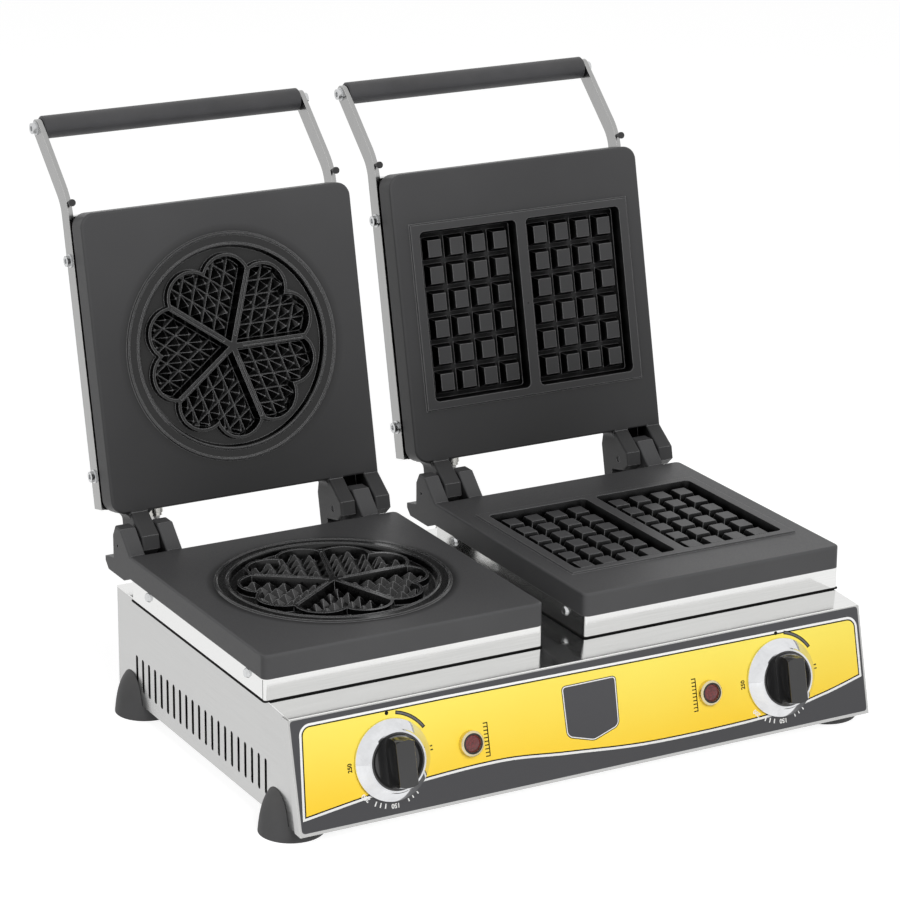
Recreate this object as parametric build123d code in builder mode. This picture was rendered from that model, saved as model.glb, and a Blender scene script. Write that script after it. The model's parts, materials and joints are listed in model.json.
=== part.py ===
from build123d import *
from math import atan2, ceil, cos, degrees, radians, sin, tan
import os

# Twin waffle maker on one cabinet, lids standing open as when batter is poured.
# Millimetres. X runs along the width, -Y is the front, Z is up from the counter.

# Cabinet sheet metal
cabinet_width = 570.0
cabinet_depth = 372.0
cabinet_height = 99.0
floor_gap = 14.0
sheet = 1.2
seam = 0.2
fascia_lean = 13.4
fascia_return = 11.0
ledge_drop = 2.0
panel_flange = 24.0
rear_flange = 12.0
deck_hole_width = 150.0
deck_hole_depth = 120.0
deck_hole_radius = 10.0

# Vent slots in the side panels and the back panel
vent_count = 21
vent_pitch = 13.15
vent_width = 4.6
vent_height = 32.5
vent_first = 67.5
vent_sill = 13.0
back_vent_count = 12
back_vent_pitch = 16.0

# Rubber feet lapping over the side panels
foot_inset = 15.0
foot_base_radius = 28.4
foot_shoulder_radius = 26.6
foot_lap_height = 25.6
foot_crown = 31.0
foot_front = 47.6
foot_rear = 343.3
foot_bore = 3.0
foot_counterbore = 7.0
foot_counterbore_depth = 7.0
foot_screw_head = 6.0
foot_screw_reach = 12.4

# Cast irons, two of them, each a lower and an upper casting from one pattern
iron_pitch = 309.0
casting_width = 268.0
casting_depth = 271.0
casting_corner = 13.0
base_corner = 6.0
casting_edge = 2.2
slab_thickness = 21.2
face_drop = 1.7
iron_front = 59.2
hinge_setback = 27.0
rim_inset = 6.8
rim_width = 6.0
rim_height = 8.6
lug_length = 30.0
lug_thickness = 9.0
lug_reach = 18.0
lug_near = 62.0
lug_far = 262.0
lug_clearance = 0.4

# Hinge ears: a pair on one side of each casting and a single ear on the other
pin_radius = 3.0
pin_clearance = 0.05
pin_recess = 0.6
pin_cap = 4.0
drift_radius = 1.4
web_drop = 19.2
ear_width = 15.5
ear_span = 51.6
ear_clearance = 1.5
ear_top = 17.5
ear_front = 7.0
ear_tip = 5.5
ear_back = 11.0
ear_shoulder = 8.0
ear_root = 22.0
ear_fillet = 7.0
heel_reach = 27.6
heel_depth = 28.6
heel_chamfer = 6.5
stop_gap = 0.3
open_angle = 102.4

# Heart mould
ring_outer = 104.2
ring_inner = 91.3
ring_rise = 1.6
ring_bead = 3.0
ring_bevel = 0.9
ring_dip = 0.9
heart_well = 4.4
well_draft = 17.5
lobe_radius = 22.0
lobe_circle = 60.0
heart_count = 5
heart_rim = 3.4
heart_rim_rise = 1.1
heart_depth = 9.4
heart_draft = 12.0
divider_width = 5.0
divider_groove = 1.6
divider_groove_depth = 0.8
pyramid_bite = 0.6
pyramid_pitch = 13.6
pyramid_gap = 0.8
pyramid_height = 7.4
pyramid_tip = 0.7

# Grid mould
frame_half_width = 118.4
frame_half_depth = 88.0
frame_rise = 1.5
frame_bevel = 6.0
pocket_width = 103.5
pocket_depth = 160.0
pocket_sink = 10.4
pocket_corner = 5.0
pocket_draft = 10.0
pocket_web = 10.5
cube_columns = 4
cube_rows = 6
cube_pitch_x = 23.4
cube_pitch_y = 25.2
cube_base_x = 19.0
cube_base_y = 21.2
cube_height = 8.4
cube_draft = 18.0

# Pedestal under each lower casting
pedestal_height = 20.3
pedestal_inset = 1.0
pedestal_corner = 2.5
pedestal_flange = 3.5
pedestal_sheet = 1.0
pedestal_reveal = 1.2
pedestal_reveal_depth = 1.6

# Lid cover behind each upper casting
cover_gap = 5.7
cover_height = 26.0
cover_sheet = 1.2
cover_front_inset = 2.5
cover_rear_inset = 2.5
cover_corner = 3.2

# Handles: two flat arms and a round grip on each lid
arm_thickness = 4.5
arm_width = 16.0
arm_start = 30.0
arm_height = 36.0
arm_bend = 309.0
arm_bend_radius = 40.0
grip_forward = 375.5
grip_height = 82.5
grip_radius = 10.5
grip_bore = 3.1
grip_gap = 0.5
grip_countersink = 1.2
bolt_radius = 3.0
bolt_head_radius = 5.0
bolt_head_height = 3.6
bolt_socket = 2.6
washer_radius = 6.2
washer_height = 1.0
bolt_near = 60.5
bolt_far = 256.0
bolt_reach = 9.0
grip_bolt_reach = 24.0
hole_clearance = 0.15
stud_place = 308.0
stud_root = 0.5
stud_radius = 1.7
stud_length = 5.0
stud_cap_radius = 3.2
stud_cap_height = 2.0

# Screws
screw_radius = 2.0
screw_head_radius = 4.6
screw_head_height = 2.6
screw_near = 65.0
screw_far = 265.0
screw_drop = 4.7
screw_bite = 6.0
screw_head_draft = 25.0

# Tubular heaters
heater_radius = 4.0
heater_seat = 0.3
heater_half_width = 96.0
heater_half_depth = 92.0
heater_inner = 34.0
heater_bend = 22.0
terminal_radius = 1.6
terminal_length = 10.0

# Controls on the fascia
control_height = 49.2
knob_offset = 194.5
lamp_offset = 119.5
overlay_margin = 2.0
overlay_foot = 2.8
overlay_height = 95.0
overlay_thickness = 0.4
overlay_corner = 3.0
skirt_radius = 35.0
skirt_height = 12.0
skirt_inner_radius = 24.6
skirt_gap = 0.6
skirt_wall = 1.4
skirt_collar = 3.0
skirt_lip = 1.6
skirt_step = 1.0
skirt_step_drop = 1.6
skirt_edge = 2.4
grip_disc_height = 9.0
knob_foot_chamfer = 3.0
knob_lip = 1.5
knob_lip_rise = 2.0
knob_dish = 2.5
knob_gap = 1.0
knob_height = 30.0
knob_bar_width = 19.0
knob_bar_waist = 2.6
knob_bar_edge = 1.2
knob_bar_draft = 10.0
shaft_radius = 3.0
shaft_clearance = 0.06
shaft_reach = 16.0
shaft_cap = 8.0
socket_clearance = 0.02
socket_play = 0.1
bush_radius = 5.0
bush_reach = 7.0
bush_gap = 1.0
bush_room = 2.0
thermostat_size = 42.0
thermostat_depth = 24.0
thermostat_corner = 4.0
bezel_radius = 11.0
bezel_height = 6.0
bezel_wall = 1.2
bezel_edge = 1.0
bezel_bevel = 0.5
bezel_tube_radius = 7.2
bezel_tube_length = 20.0
lens_radius = 7.6
lens_sink = 1.4
lens_crown = 1.6
lens_seat = 2.4
lens_clearance = 0.1

# Cable glands and the flexible conduit from cabinet to lid
gland_nut_radius = 8.0
gland_nut_height = 5.0
gland_body_radius = 6.2
gland_body_height = 14.0
gland_thread = 4.0
gland_collar_gap = 2.0
gland_collar_step = 0.6
lock_nut_height = 2.4
lock_nut_gap = 0.4
conduit_radius = 4.0
conduit_run = 24.0
conduit_drop = 28.8
conduit_ease = 0.45
conduit_turn = 42.0
lid_gland_x = -77.0
lid_gland_rise = 41.0
mains_gland_inset = 45.0
mains_gland_height = 32.0
mains_gland_radius = 7.5
mains_nut_radius = 10.5
terminal_block_width = 46.0
terminal_block_depth = 23.0
terminal_block_height = 18.4
terminal_block_corner = 2.0
terminal_block_shift = 30.0
terminal_block_setback = 50.0
terminal_pitch = 13.5
terminal_rows = 11.5
terminal_bore = 3.0
terminal_sink = 12.0

# Places worked out from the sizes above
lean = radians(fascia_lean)
swing = radians(open_angle)
rear_setback = sheet + seam
fascia_rise = cabinet_height - ledge_drop
grip_disc_radius = skirt_inner_radius
hinge_from_front = iron_front + casting_depth + hinge_setback
hinge_height = floor_gap + cabinet_height + pedestal_height + slab_thickness + face_drop
rear_reach = (
    hinge_from_front
    - grip_forward * cos(swing)
    + grip_height * sin(swing)
    + grip_radius
)
knob_bar_half = skirt_inner_radius - knob_height * tan(radians(knob_bar_draft))
knob_reach = knob_height * cos(lean) - (control_height - knob_bar_half) * sin(lean)
front_y = -(rear_reach - knob_reach) / 2
hinge_y = front_y + hinge_from_front
deck_z = floor_gap + cabinet_height
back_y = front_y + cabinet_depth
side_x = cabinet_width / 2 - sheet - seam
casting_mid = -(hinge_setback + casting_depth / 2)
slab_back = face_drop + slab_thickness
cover_front = slab_back + cover_gap
cover_half = casting_width / 2 - arm_thickness - seam
arm_inner = casting_width / 2 - arm_thickness
lug_outer = cover_half - cover_sheet - lug_clearance
mains_gland_x = cabinet_width / 2 - mains_gland_inset
iron_places = {"left": -iron_pitch / 2, "right": iron_pitch / 2}
os.makedirs("parts", exist_ok=True)

fascia_plane = Plane(
    origin=(0, front_y, floor_gap),
    x_dir=(1, 0, 0),
    z_dir=(0, -cos(lean), sin(lean)),
)


def write_part(part, name):
    "Label one finished piece and write its STEP file."
    part.label = name
    export_step(part, f"parts/{name}.step")


def side_plane(frame, x):
    "Plane across a frame at x, whose own axes are the frame's y and z."
    return Plane(
        origin=frame.from_local_coords(Vector(x, 0, 0)),
        x_dir=frame.y_dir,
        z_dir=frame.x_dir,
    )


def rear_plane(frame, y):
    "Plane facing along a frame's y, whose own axes are -x and z."
    return Plane(
        origin=frame.from_local_coords(Vector(0, y, 0)),
        x_dir=frame.x_dir * -1,
        z_dir=frame.y_dir,
    )


def base_frame(iron_x):
    "Hinge frame of a lower casting: z points out of its mould face."
    return Plane(origin=(iron_x, hinge_y, hinge_height), x_dir=(1, 0, 0), z_dir=(0, 0, 1))


def lid_frame(iron_x):
    "Hinge frame of an open lid, laid out as if it were closed."
    return Plane(
        origin=(iron_x, hinge_y, hinge_height),
        x_dir=(1, 0, 0),
        z_dir=(0, sin(swing), cos(swing)),
    )


def upper_frame(iron_x):
    "Hinge frame of an upper casting: the pattern turned over about y."
    return Plane(
        origin=(iron_x, hinge_y, hinge_height),
        x_dir=(-1, 0, 0),
        z_dir=(0, -sin(swing), -cos(swing)),
    )


# Cabinet


def make_side_panel(sign):
    "Side panel with vent slots and inward flanges at the bottom and the rear."
    inner_x = sign * (side_x - sheet)
    top = cabinet_height - sheet
    front_foot = sheet / cos(lean) + seam
    ledge_top = fascia_rise - sheet - seam
    front_top = front_foot + ledge_top * tan(lean)
    rear = cabinet_depth - rear_setback
    frame = Plane(origin=(inner_x, front_y, floor_gap), x_dir=(0, 1, 0), z_dir=(1, 0, 0))
    with BuildPart() as panel:
        with BuildSketch(frame):
            Polygon(
                (front_foot, 0),
                (rear, 0),
                (rear, top),
                (iron_front, top),
                (front_top, ledge_top),
                align=None,
            )
        extrude(amount=sign * sheet)
        flange_middle = (fascia_return + rear) / 2 + panel_flange / 2
        with BuildSketch(Plane(origin=(inner_x, front_y + flange_middle, floor_gap))):
            Rectangle(2 * panel_flange, rear - fascia_return - panel_flange)
        extrude(amount=sheet)
        rear_middle = (inner_x, front_y + rear, floor_gap + top / 2)
        with BuildSketch(Plane(origin=rear_middle, x_dir=(1, 0, 0), z_dir=(0, -1, 0))):
            Rectangle(2 * rear_flange, top)
        extrude(amount=sheet)
        with BuildSketch(Plane.XY.offset(floor_gap)):
            with Locations(*foot_places()):
                Circle(foot_bore + hole_clearance)
        extrude(amount=2 * sheet, mode=Mode.SUBTRACT)
        with BuildSketch(Plane(origin=(sign * (side_x + panel_flange), front_y, floor_gap))):
            Rectangle(2 * panel_flange, 3 * cabinet_depth)
        extrude(amount=cabinet_height, mode=Mode.SUBTRACT)
        vent_middle = vent_first + (vent_count - 1) * vent_pitch / 2
        with BuildSketch(frame.offset(-2 * sheet)):
            with Locations((vent_middle, vent_sill + vent_height / 2)):
                with GridLocations(vent_pitch, 0, vent_count, 1):
                    SlotOverall(vent_height, vent_width, rotation=90)
        extrude(amount=4 * sheet, mode=Mode.SUBTRACT)
    return panel.part


def make_top_deck():
    "Deck with its sloped ledge in front and a wiring hole under each iron."
    under = sheet
    ledge_end = fascia_rise * tan(lean)
    with BuildPart() as deck:
        with BuildSketch(Plane(origin=(-side_x, front_y, floor_gap), x_dir=(0, 1, 0), z_dir=(1, 0, 0))):
            Polygon(
                (ledge_end, fascia_rise),
                (iron_front, cabinet_height),
                (cabinet_depth, cabinet_height),
                (cabinet_depth, cabinet_height - under),
                (iron_front, cabinet_height - under),
                (ledge_end, fascia_rise - under),
                align=None,
            )
        extrude(amount=2 * side_x)
        hole_y = front_y + iron_front + casting_depth / 2
        with BuildSketch(Plane.XY.offset(deck_z)):
            with Locations((-iron_pitch / 2, hole_y), (iron_pitch / 2, hole_y)):
                RectangleRounded(deck_hole_width, deck_hole_depth, deck_hole_radius)
        extrude(amount=-3 * sheet, mode=Mode.SUBTRACT)
    return deck.part


def make_front_fascia():
    "Leaning fascia folded back on all four sides, its ends lapping the side panels."
    rise = fascia_rise - sheet
    skin = sheet / cos(lean)
    frame = Plane(origin=(-cabinet_width / 2, front_y, floor_gap), x_dir=(0, 1, 0), z_dir=(1, 0, 0))
    with BuildPart() as fascia:
        with BuildSketch(frame):
            Polygon(
                (0, 0),
                (fascia_return, 0),
                (fascia_return + rise * tan(lean), rise),
                (rise * tan(lean), rise),
                align=None,
            )
        extrude(amount=cabinet_width)
        with BuildSketch(frame.offset(sheet)):
            Polygon(
                (skin + sheet * tan(lean), sheet),
                (2 * fascia_return, sheet),
                (2 * fascia_return + rise * tan(lean), rise - sheet),
                (skin + (rise - sheet) * tan(lean), rise - sheet),
                align=None,
            )
        extrude(amount=cabinet_width - 2 * sheet, mode=Mode.SUBTRACT)
        slot = sheet + 2 * seam
        for start in (sheet, cabinet_width - sheet - slot):
            with BuildSketch(frame.offset(start)):
                Polygon(
                    (skin, 0),
                    (2 * fascia_return, 0),
                    (2 * fascia_return + rise * tan(lean), rise),
                    (skin + rise * tan(lean), rise),
                    align=None,
                )
            extrude(amount=slot, mode=Mode.SUBTRACT)
        with BuildSketch(fascia_plane.offset(1)):
            with Locations((-knob_offset, control_height), (knob_offset, control_height)):
                Circle(bush_radius + hole_clearance)
            with Locations((-lamp_offset, control_height), (lamp_offset, control_height)):
                Circle(bezel_tube_radius + hole_clearance)
        extrude(amount=-2 - sheet, mode=Mode.SUBTRACT)
    return fascia.part


def make_back_panel():
    "Flat back panel with vent slots and the cable entries."
    width = 2 * (side_x - seam)
    height = cabinet_height - sheet - seam
    frame = Plane(origin=(0, back_y, floor_gap), x_dir=(-1, 0, 0), z_dir=(0, 1, 0))
    with BuildPart() as panel:
        with BuildSketch(frame.offset(-rear_setback)):
            with Locations((0, height / 2)):
                Rectangle(width, height)
            with Locations((0, vent_sill + vent_height / 2)):
                with GridLocations(back_vent_pitch, 0, back_vent_count, 1):
                    SlotOverall(vent_height, vent_width, rotation=90, mode=Mode.SUBTRACT)
            for x in iron_places.values():
                with Locations((-(x + lid_gland_x), conduit_points(x)[-1].Z - floor_gap)):
                    Circle(gland_body_radius + hole_clearance, mode=Mode.SUBTRACT)
            with Locations((-mains_gland_x, mains_gland_height)):
                Circle(mains_gland_radius + hole_clearance, mode=Mode.SUBTRACT)
        extrude(amount=rear_setback - seam)
    return panel.part


def make_bottom_cover():
    "Bottom cover lying on the side flanges, with holes over the feet."
    front = fascia_return / 2
    rear = cabinet_depth - rear_setback - sheet - seam
    with BuildPart() as cover:
        with BuildSketch(Plane(origin=(0, front_y + (front + rear) / 2, floor_gap + sheet))):
            Rectangle(2 * (side_x - sheet - seam), rear - front)
        extrude(amount=sheet)
        with BuildSketch(Plane.XY.offset(floor_gap)):
            with Locations(*foot_places()):
                Circle(foot_bore + hole_clearance)
        extrude(amount=3 * sheet, mode=Mode.SUBTRACT)
    return cover.part


def foot_places():
    "Centres of the four feet."
    x = cabinet_width / 2 - foot_inset
    return [(sx * x, front_y + y) for y in (foot_front, foot_rear) for sx in (-1, 1)]


def make_foot(place):
    "Bell-shaped rubber foot: a round pad below and a dome lapping the side panel."
    x, y = place
    sign = 1 if x > 0 else -1
    with BuildPart() as foot:
        with BuildSketch(Plane(origin=(x, y, 0), x_dir=(1, 0, 0), z_dir=(0, -1, 0))):
            with BuildLine():
                side = Spline(
                    (foot_base_radius, 0),
                    (foot_shoulder_radius, floor_gap),
                    (foot_inset, floor_gap + foot_lap_height),
                    (0, floor_gap + foot_crown),
                )
                Line(side @ 1, (0, 0))
                Line((0, 0), side @ 0)
            make_face()
        revolve(axis=Axis((x, y, 0), (0, 0, 1)))
        inside = Plane(origin=(sign * (side_x + seam), y, floor_gap), x_dir=(1, 0, 0))
        with BuildSketch(inside):
            with Locations((-sign * 2 * foot_base_radius, 0)):
                Rectangle(4 * foot_base_radius, 4 * foot_base_radius)
        extrude(amount=2 * foot_crown, mode=Mode.SUBTRACT)
        with BuildSketch(Plane(origin=(x, y, 0))):
            Circle(foot_bore + hole_clearance)
        extrude(amount=floor_gap, mode=Mode.SUBTRACT)
        with BuildSketch(Plane(origin=(x, y, 0))):
            Circle(foot_counterbore)
        extrude(amount=foot_counterbore_depth, mode=Mode.SUBTRACT)
    return foot.part


def make_foot_screws():
    "Four screws up through the feet into the bottom flanges."
    with BuildPart() as screws:
        for x, y in foot_places():
            with BuildSketch(Plane(origin=(x, y, foot_counterbore_depth))):
                Circle(foot_bore)
            extrude(amount=foot_screw_reach)
            with BuildSketch(Plane(origin=(x, y, foot_counterbore_depth))):
                Circle(foot_screw_head)
            extrude(amount=-screw_head_height)
    return screws.part


# Castings


def make_ear(frame, start, width):
    "One hinge ear, as its side profile drawn across its width."
    plane = side_plane(frame, start)
    with BuildPart() as ear:
        with BuildSketch(plane):
            Polygon(
                (-hinge_setback - casting_corner, -slab_back),
                (-hinge_setback - casting_corner, -face_drop),
                (-hinge_setback, -face_drop),
                (-ear_front, ear_top),
                (ear_tip, ear_top),
                (ear_back, ear_shoulder),
                (ear_back, -ear_root),
                (ear_tip, -slab_back),
                align=None,
            )
        extrude(amount=width)
        ends = ear.faces().sort_by(Axis(plane.origin, plane.z_dir))
        rims = ends[0].edges() + ends[-1].edges()
        spots = [frame.to_local_coords(e.center()) for e in rims]
        start_y = -hinge_setback - casting_corner
        bared = [e for e, s in zip(rims, spots) if s.Z > -ear_root and s.Y > start_y + seam]
        fillet(bared, casting_edge)
    return ear.part


def make_flank(frame, x, sign):
    "Concave web in plan between one side of an ear and the slab's rear edge."
    rear = -hinge_setback
    with BuildPart() as flank:
        with BuildSketch(frame.offset(-slab_back)):
            with BuildLine():
                Polyline(
                    (x, rear + ear_fillet),
                    (x - sign * casting_edge, rear + ear_fillet),
                    (x - sign * casting_edge, rear - casting_edge),
                    (x + sign * ear_fillet, rear - casting_edge),
                    (x + sign * ear_fillet, rear),
                )
                RadiusArc((x + sign * ear_fillet, rear), (x, rear + ear_fillet), sign * ear_fillet)
            make_face()
        extrude(amount=slab_thickness - casting_edge)
    return flank.part


def stop_line(y):
    "Height at which the back of the opposite ear lies when the lid is open."
    return (y * cos(swing) - ear_back) / sin(swing) - stop_gap


def make_heel(frame, start, width):
    "Heel bridging the pair of ears, on whose top the opposite single ear stops."
    nose = (ear_tip + ear_back) / 2
    with BuildPart() as heel:
        with BuildSketch(side_plane(frame, start)):
            Polygon(
                (-hinge_setback - rim_inset, -slab_back),
                (-hinge_setback, -web_drop),
                (nose, -web_drop),
                (nose, stop_line(nose)),
                (heel_reach, stop_line(heel_reach)),
                (heel_reach, -heel_depth + heel_chamfer),
                (heel_reach - heel_chamfer, -heel_depth),
                (-hinge_setback / 2, -heel_depth),
                (-hinge_setback, -slab_back),
                align=None,
            )
        extrude(amount=width)
    return heel.part


def make_ring():
    "Disc of the heart mould with a beaded ring round its sunken well."
    deep = -heart_depth - 3
    dip = ring_rise - ring_dip
    outer_foot = ring_outer - ring_bead
    inner_foot = ring_inner + ring_bead
    with BuildPart() as ring:
        with BuildSketch(Plane.XZ):
            Polygon(
                (0, deep),
                (ring_outer - 1, deep),
                (ring_outer - 1, 0),
                (ring_outer, 0),
                (ring_outer - ring_bevel, ring_rise),
                (outer_foot + ring_bevel, ring_rise),
                (outer_foot, dip),
                (inner_foot, dip),
                (inner_foot - ring_bevel, ring_rise),
                (ring_inner + ring_bevel, ring_rise),
                (ring_inner, dip),
                (ring_inner - (dip + heart_well) * tan(radians(well_draft)), -heart_well),
                (0, -heart_well),
                align=None,
            )
        revolve(axis=Axis.Z)
    return ring.part


def make_heart_insert():
    "Disc with ring, well, five hearts and rhombic pyramids, its face on the ground plane."
    step = 360 / heart_count
    with BuildPart() as insert:
        add(make_ring())
        with BuildSketch(Plane.XY.offset(-heart_well)):
            Circle(lobe_circle)
            with PolarLocations(lobe_circle, 2 * heart_count, start_angle=step / 4):
                Circle(lobe_radius + heart_rim)
        extrude(amount=heart_well + heart_rim_rise, taper=well_draft / 2)
        with BuildSketch(Plane.XY.offset(heart_rim_rise)):
            Circle(lobe_circle)
            with PolarLocations(lobe_circle, 2 * heart_count, start_angle=step / 4):
                Circle(lobe_radius)
            with PolarLocations(0, heart_count):
                Rectangle(
                    lobe_circle + lobe_radius,
                    divider_width,
                    align=(Align.MIN, Align.CENTER),
                    mode=Mode.SUBTRACT,
                )
        extrude(amount=-heart_depth - heart_rim_rise, taper=heart_draft, mode=Mode.SUBTRACT)
        with BuildSketch(Plane.XY.offset(heart_rim_rise)):
            with PolarLocations(2 * divider_width, heart_count):
                Rectangle(lobe_circle, divider_groove, align=(Align.MIN, Align.CENTER))
        extrude(amount=-divider_groove_depth, mode=Mode.SUBTRACT)
        add(make_pyramids(Plane.XY.offset(-heart_depth), step))
    return insert.part


def make_pyramids(floor, step):
    "Pyramids on the hearts' floor, those at the edge running into the walls."
    half = pyramid_pitch * sin(radians(step)) / 2 - pyramid_gap / 2
    slope = degrees(atan2(half - pyramid_tip, pyramid_height))
    with BuildPart() as pyramids:
        with BuildSketch(floor):
            for heart in range(heart_count):
                for place in pyramid_places(heart * step, step):
                    with Locations(place):
                        add_rhombus(heart * step, step)
        extrude(amount=pyramid_height, taper=slope)
        with BuildSketch(floor.offset(-1)):
            Circle(lobe_circle)
            with PolarLocations(lobe_circle, 2 * heart_count, start_angle=step / 4):
                Circle(lobe_radius + pyramid_bite)
        extrude(amount=pyramid_height + 2, mode=Mode.INTERSECT)
    return pyramids.part


def pyramid_places(first, step):
    "Centres of the pyramids in the heart between two dividers."
    near = Vector(cos(radians(first)), sin(radians(first)))
    far = Vector(cos(radians(first + step)), sin(radians(first + step)))
    places = []
    cells = ceil((lobe_circle + lobe_radius) / pyramid_pitch)
    edge = (divider_width / 2 + heart_depth * tan(radians(heart_draft))) / sin(radians(step))
    for i in range(cells):
        for j in range(cells):
            spot = near * (edge + (i + 0.5) * pyramid_pitch) + far * (edge + (j + 0.5) * pyramid_pitch)
            if mostly_in_heart(spot, first, step):
                places.append((spot.X, spot.Y))
    return places


def mostly_in_heart(spot, first, step):
    "True where a pyramid's tip stands inside the lobe walls."
    wall = heart_depth * tan(radians(heart_draft))
    if spot.length + wall < lobe_circle:
        return True
    for quarter in (0.25, 0.75):
        angle = radians(first + quarter * step)
        lobe = Vector(lobe_circle * cos(angle), lobe_circle * sin(angle))
        if (spot - lobe).length + wall < lobe_radius:
            return True
    return False


def add_rhombus(first, step):
    "Rhombus with its sides along the two dividers of its heart."
    side = pyramid_pitch - pyramid_gap / sin(radians(step))
    near = Vector(cos(radians(first)), sin(radians(first))) * side / 2
    far = Vector(cos(radians(first + step)), sin(radians(first + step))) * side / 2
    corners = [near + far, far - near, (near + far) * -1, near - far]
    Polygon(*[(c.X, c.Y) for c in corners], align=None)


def make_grid_insert():
    "Block with a raised frame round two pockets of square frusta, its face on the ground plane."
    pocket_x = (pocket_width + pocket_web) / 2
    with BuildPart() as insert:
        with BuildSketch(Plane.XY):
            Rectangle(2 * frame_half_width, 2 * frame_half_depth)
        extrude(amount=frame_rise, taper=degrees(atan2(frame_bevel, frame_rise)) / 2)
        with BuildSketch(Plane.XY):
            Rectangle(2 * frame_half_width - 2, 2 * frame_half_depth - 2)
        extrude(amount=-pocket_sink - 3)
        with BuildSketch(Plane.XY.offset(frame_rise)):
            with Locations((-pocket_x, 0), (pocket_x, 0)):
                RectangleRounded(pocket_width, pocket_depth, pocket_corner)
        extrude(amount=-frame_rise - pocket_sink, taper=pocket_draft, mode=Mode.SUBTRACT)
        with BuildSketch(Plane.XY.offset(-pocket_sink)):
            with Locations((-pocket_x, 0), (pocket_x, 0)):
                with GridLocations(cube_pitch_x, cube_pitch_y, cube_columns, cube_rows):
                    Rectangle(cube_base_x, cube_base_y)
        extrude(amount=cube_height, taper=cube_draft)
    return insert.part


def make_casting(frame, mould, insert, turn, corner, hole_radius, bores, bore_radius):
    "Cast half of an iron: slab, back rim, lugs, hinge ears, heel and mould relief."
    face = Plane(
        origin=frame.from_local_coords(Vector(0, casting_mid, -face_drop)),
        x_dir=frame.x_dir.rotate(Axis((0, 0, 0), frame.z_dir), turn),
        z_dir=frame.z_dir,
    )
    half = casting_width / 2
    single_width = ear_span - 2 * ear_width - 2 * ear_clearance
    single_start = half - ear_span / 2 - single_width / 2
    with BuildPart() as casting:
        with BuildSketch(frame.offset(-slab_back)):
            with Locations((0, casting_mid)):
                RectangleRounded(casting_width, casting_depth, corner)
        extrude(amount=slab_thickness)
        face_edges = casting.faces().sort_by(Axis(frame.origin, frame.z_dir))[-1].edges()
        fillet(face_edges, casting_edge)
        with BuildSketch(frame.offset(-slab_back)):
            with Locations((0, casting_mid)):
                Rectangle(casting_width - 2 * rim_inset, casting_depth - 2 * rim_inset)
                Rectangle(
                    casting_width - 2 * rim_inset - 2 * rim_width,
                    casting_depth - 2 * rim_inset - 2 * rim_width,
                    mode=Mode.SUBTRACT,
                )
        extrude(amount=-rim_height)
        lug_places = [
            (sx * (lug_outer - lug_thickness / 2), -y) for sx in (-1, 1) for y in (lug_near, lug_far)
        ]
        with BuildSketch(frame.offset(-slab_back)):
            with Locations(*lug_places):
                Rectangle(lug_thickness, lug_length)
        extrude(amount=-lug_reach)
        for start in (-half, -half + ear_span - ear_width):
            add(make_ear(frame, start, ear_width))
        add(make_ear(frame, single_start, single_width))
        add(make_flank(frame, -half + ear_span, 1))
        add(make_flank(frame, single_start, -1))
        add(make_flank(frame, single_start + single_width, 1))
        add(make_heel(frame, -half, ear_span))
        with BuildSketch(frame):
            with Locations((0, casting_mid)):
                if mould == "hearts":
                    Circle(ring_inner)
                else:
                    Rectangle(2 * frame_half_width - 2 * frame_bevel, 2 * frame_half_depth - 2 * frame_bevel)
        extrude(amount=-face_drop - pocket_sink - 1, mode=Mode.SUBTRACT)
        with Locations(face.location):
            add(insert)
        with BuildSketch(side_plane(frame, -half + pin_cap)):
            Circle(hole_radius)
        extrude(amount=casting_width, mode=Mode.SUBTRACT)
        with BuildSketch(side_plane(frame, -half - 1)):
            Circle(drift_radius)
        extrude(amount=ear_width, mode=Mode.SUBTRACT)
        with BuildSketch(side_plane(frame, -half)):
            with Locations(*bores):
                Circle(bore_radius)
        extrude(amount=casting_width, mode=Mode.SUBTRACT)
    return casting.part


def make_pedestal(iron_x):
    "Folded steel frame between the deck and a lower casting, with a shadow gap at its foot."
    width = casting_width - 2 * pedestal_inset
    depth = casting_depth - 2 * pedestal_inset
    inner_width = width - 2 * pedestal_sheet
    inner_depth = depth - 2 * pedestal_sheet
    floor = pedestal_reveal + pedestal_sheet
    foot = Plane(origin=(iron_x, front_y + iron_front + casting_depth / 2, deck_z))
    with BuildPart() as pedestal:
        with BuildSketch(foot):
            RectangleRounded(width, depth, pedestal_corner)
        extrude(amount=pedestal_height)
        with BuildSketch(foot.offset(floor)):
            RectangleRounded(inner_width, inner_depth, pedestal_corner - pedestal_sheet)
        extrude(amount=pedestal_height - floor - pedestal_sheet, mode=Mode.SUBTRACT)
        with BuildSketch(foot):
            Rectangle(inner_width - 2 * pedestal_flange, inner_depth - 2 * pedestal_flange)
        extrude(amount=pedestal_height, mode=Mode.SUBTRACT)
        with BuildSketch(foot):
            Rectangle(casting_width, casting_depth)
            Rectangle(
                width - 2 * pedestal_reveal_depth,
                depth - 2 * pedestal_reveal_depth,
                mode=Mode.SUBTRACT,
            )
        extrude(amount=pedestal_reveal, mode=Mode.SUBTRACT)
        frame = base_frame(iron_x)
        with BuildSketch(side_plane(frame, -casting_width)):
            with Locations(*[(-v, -slab_back - screw_drop) for v in (screw_near, screw_far)]):
                Circle(screw_radius + hole_clearance)
        extrude(amount=2 * casting_width, mode=Mode.SUBTRACT)
    return pedestal.part


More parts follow.
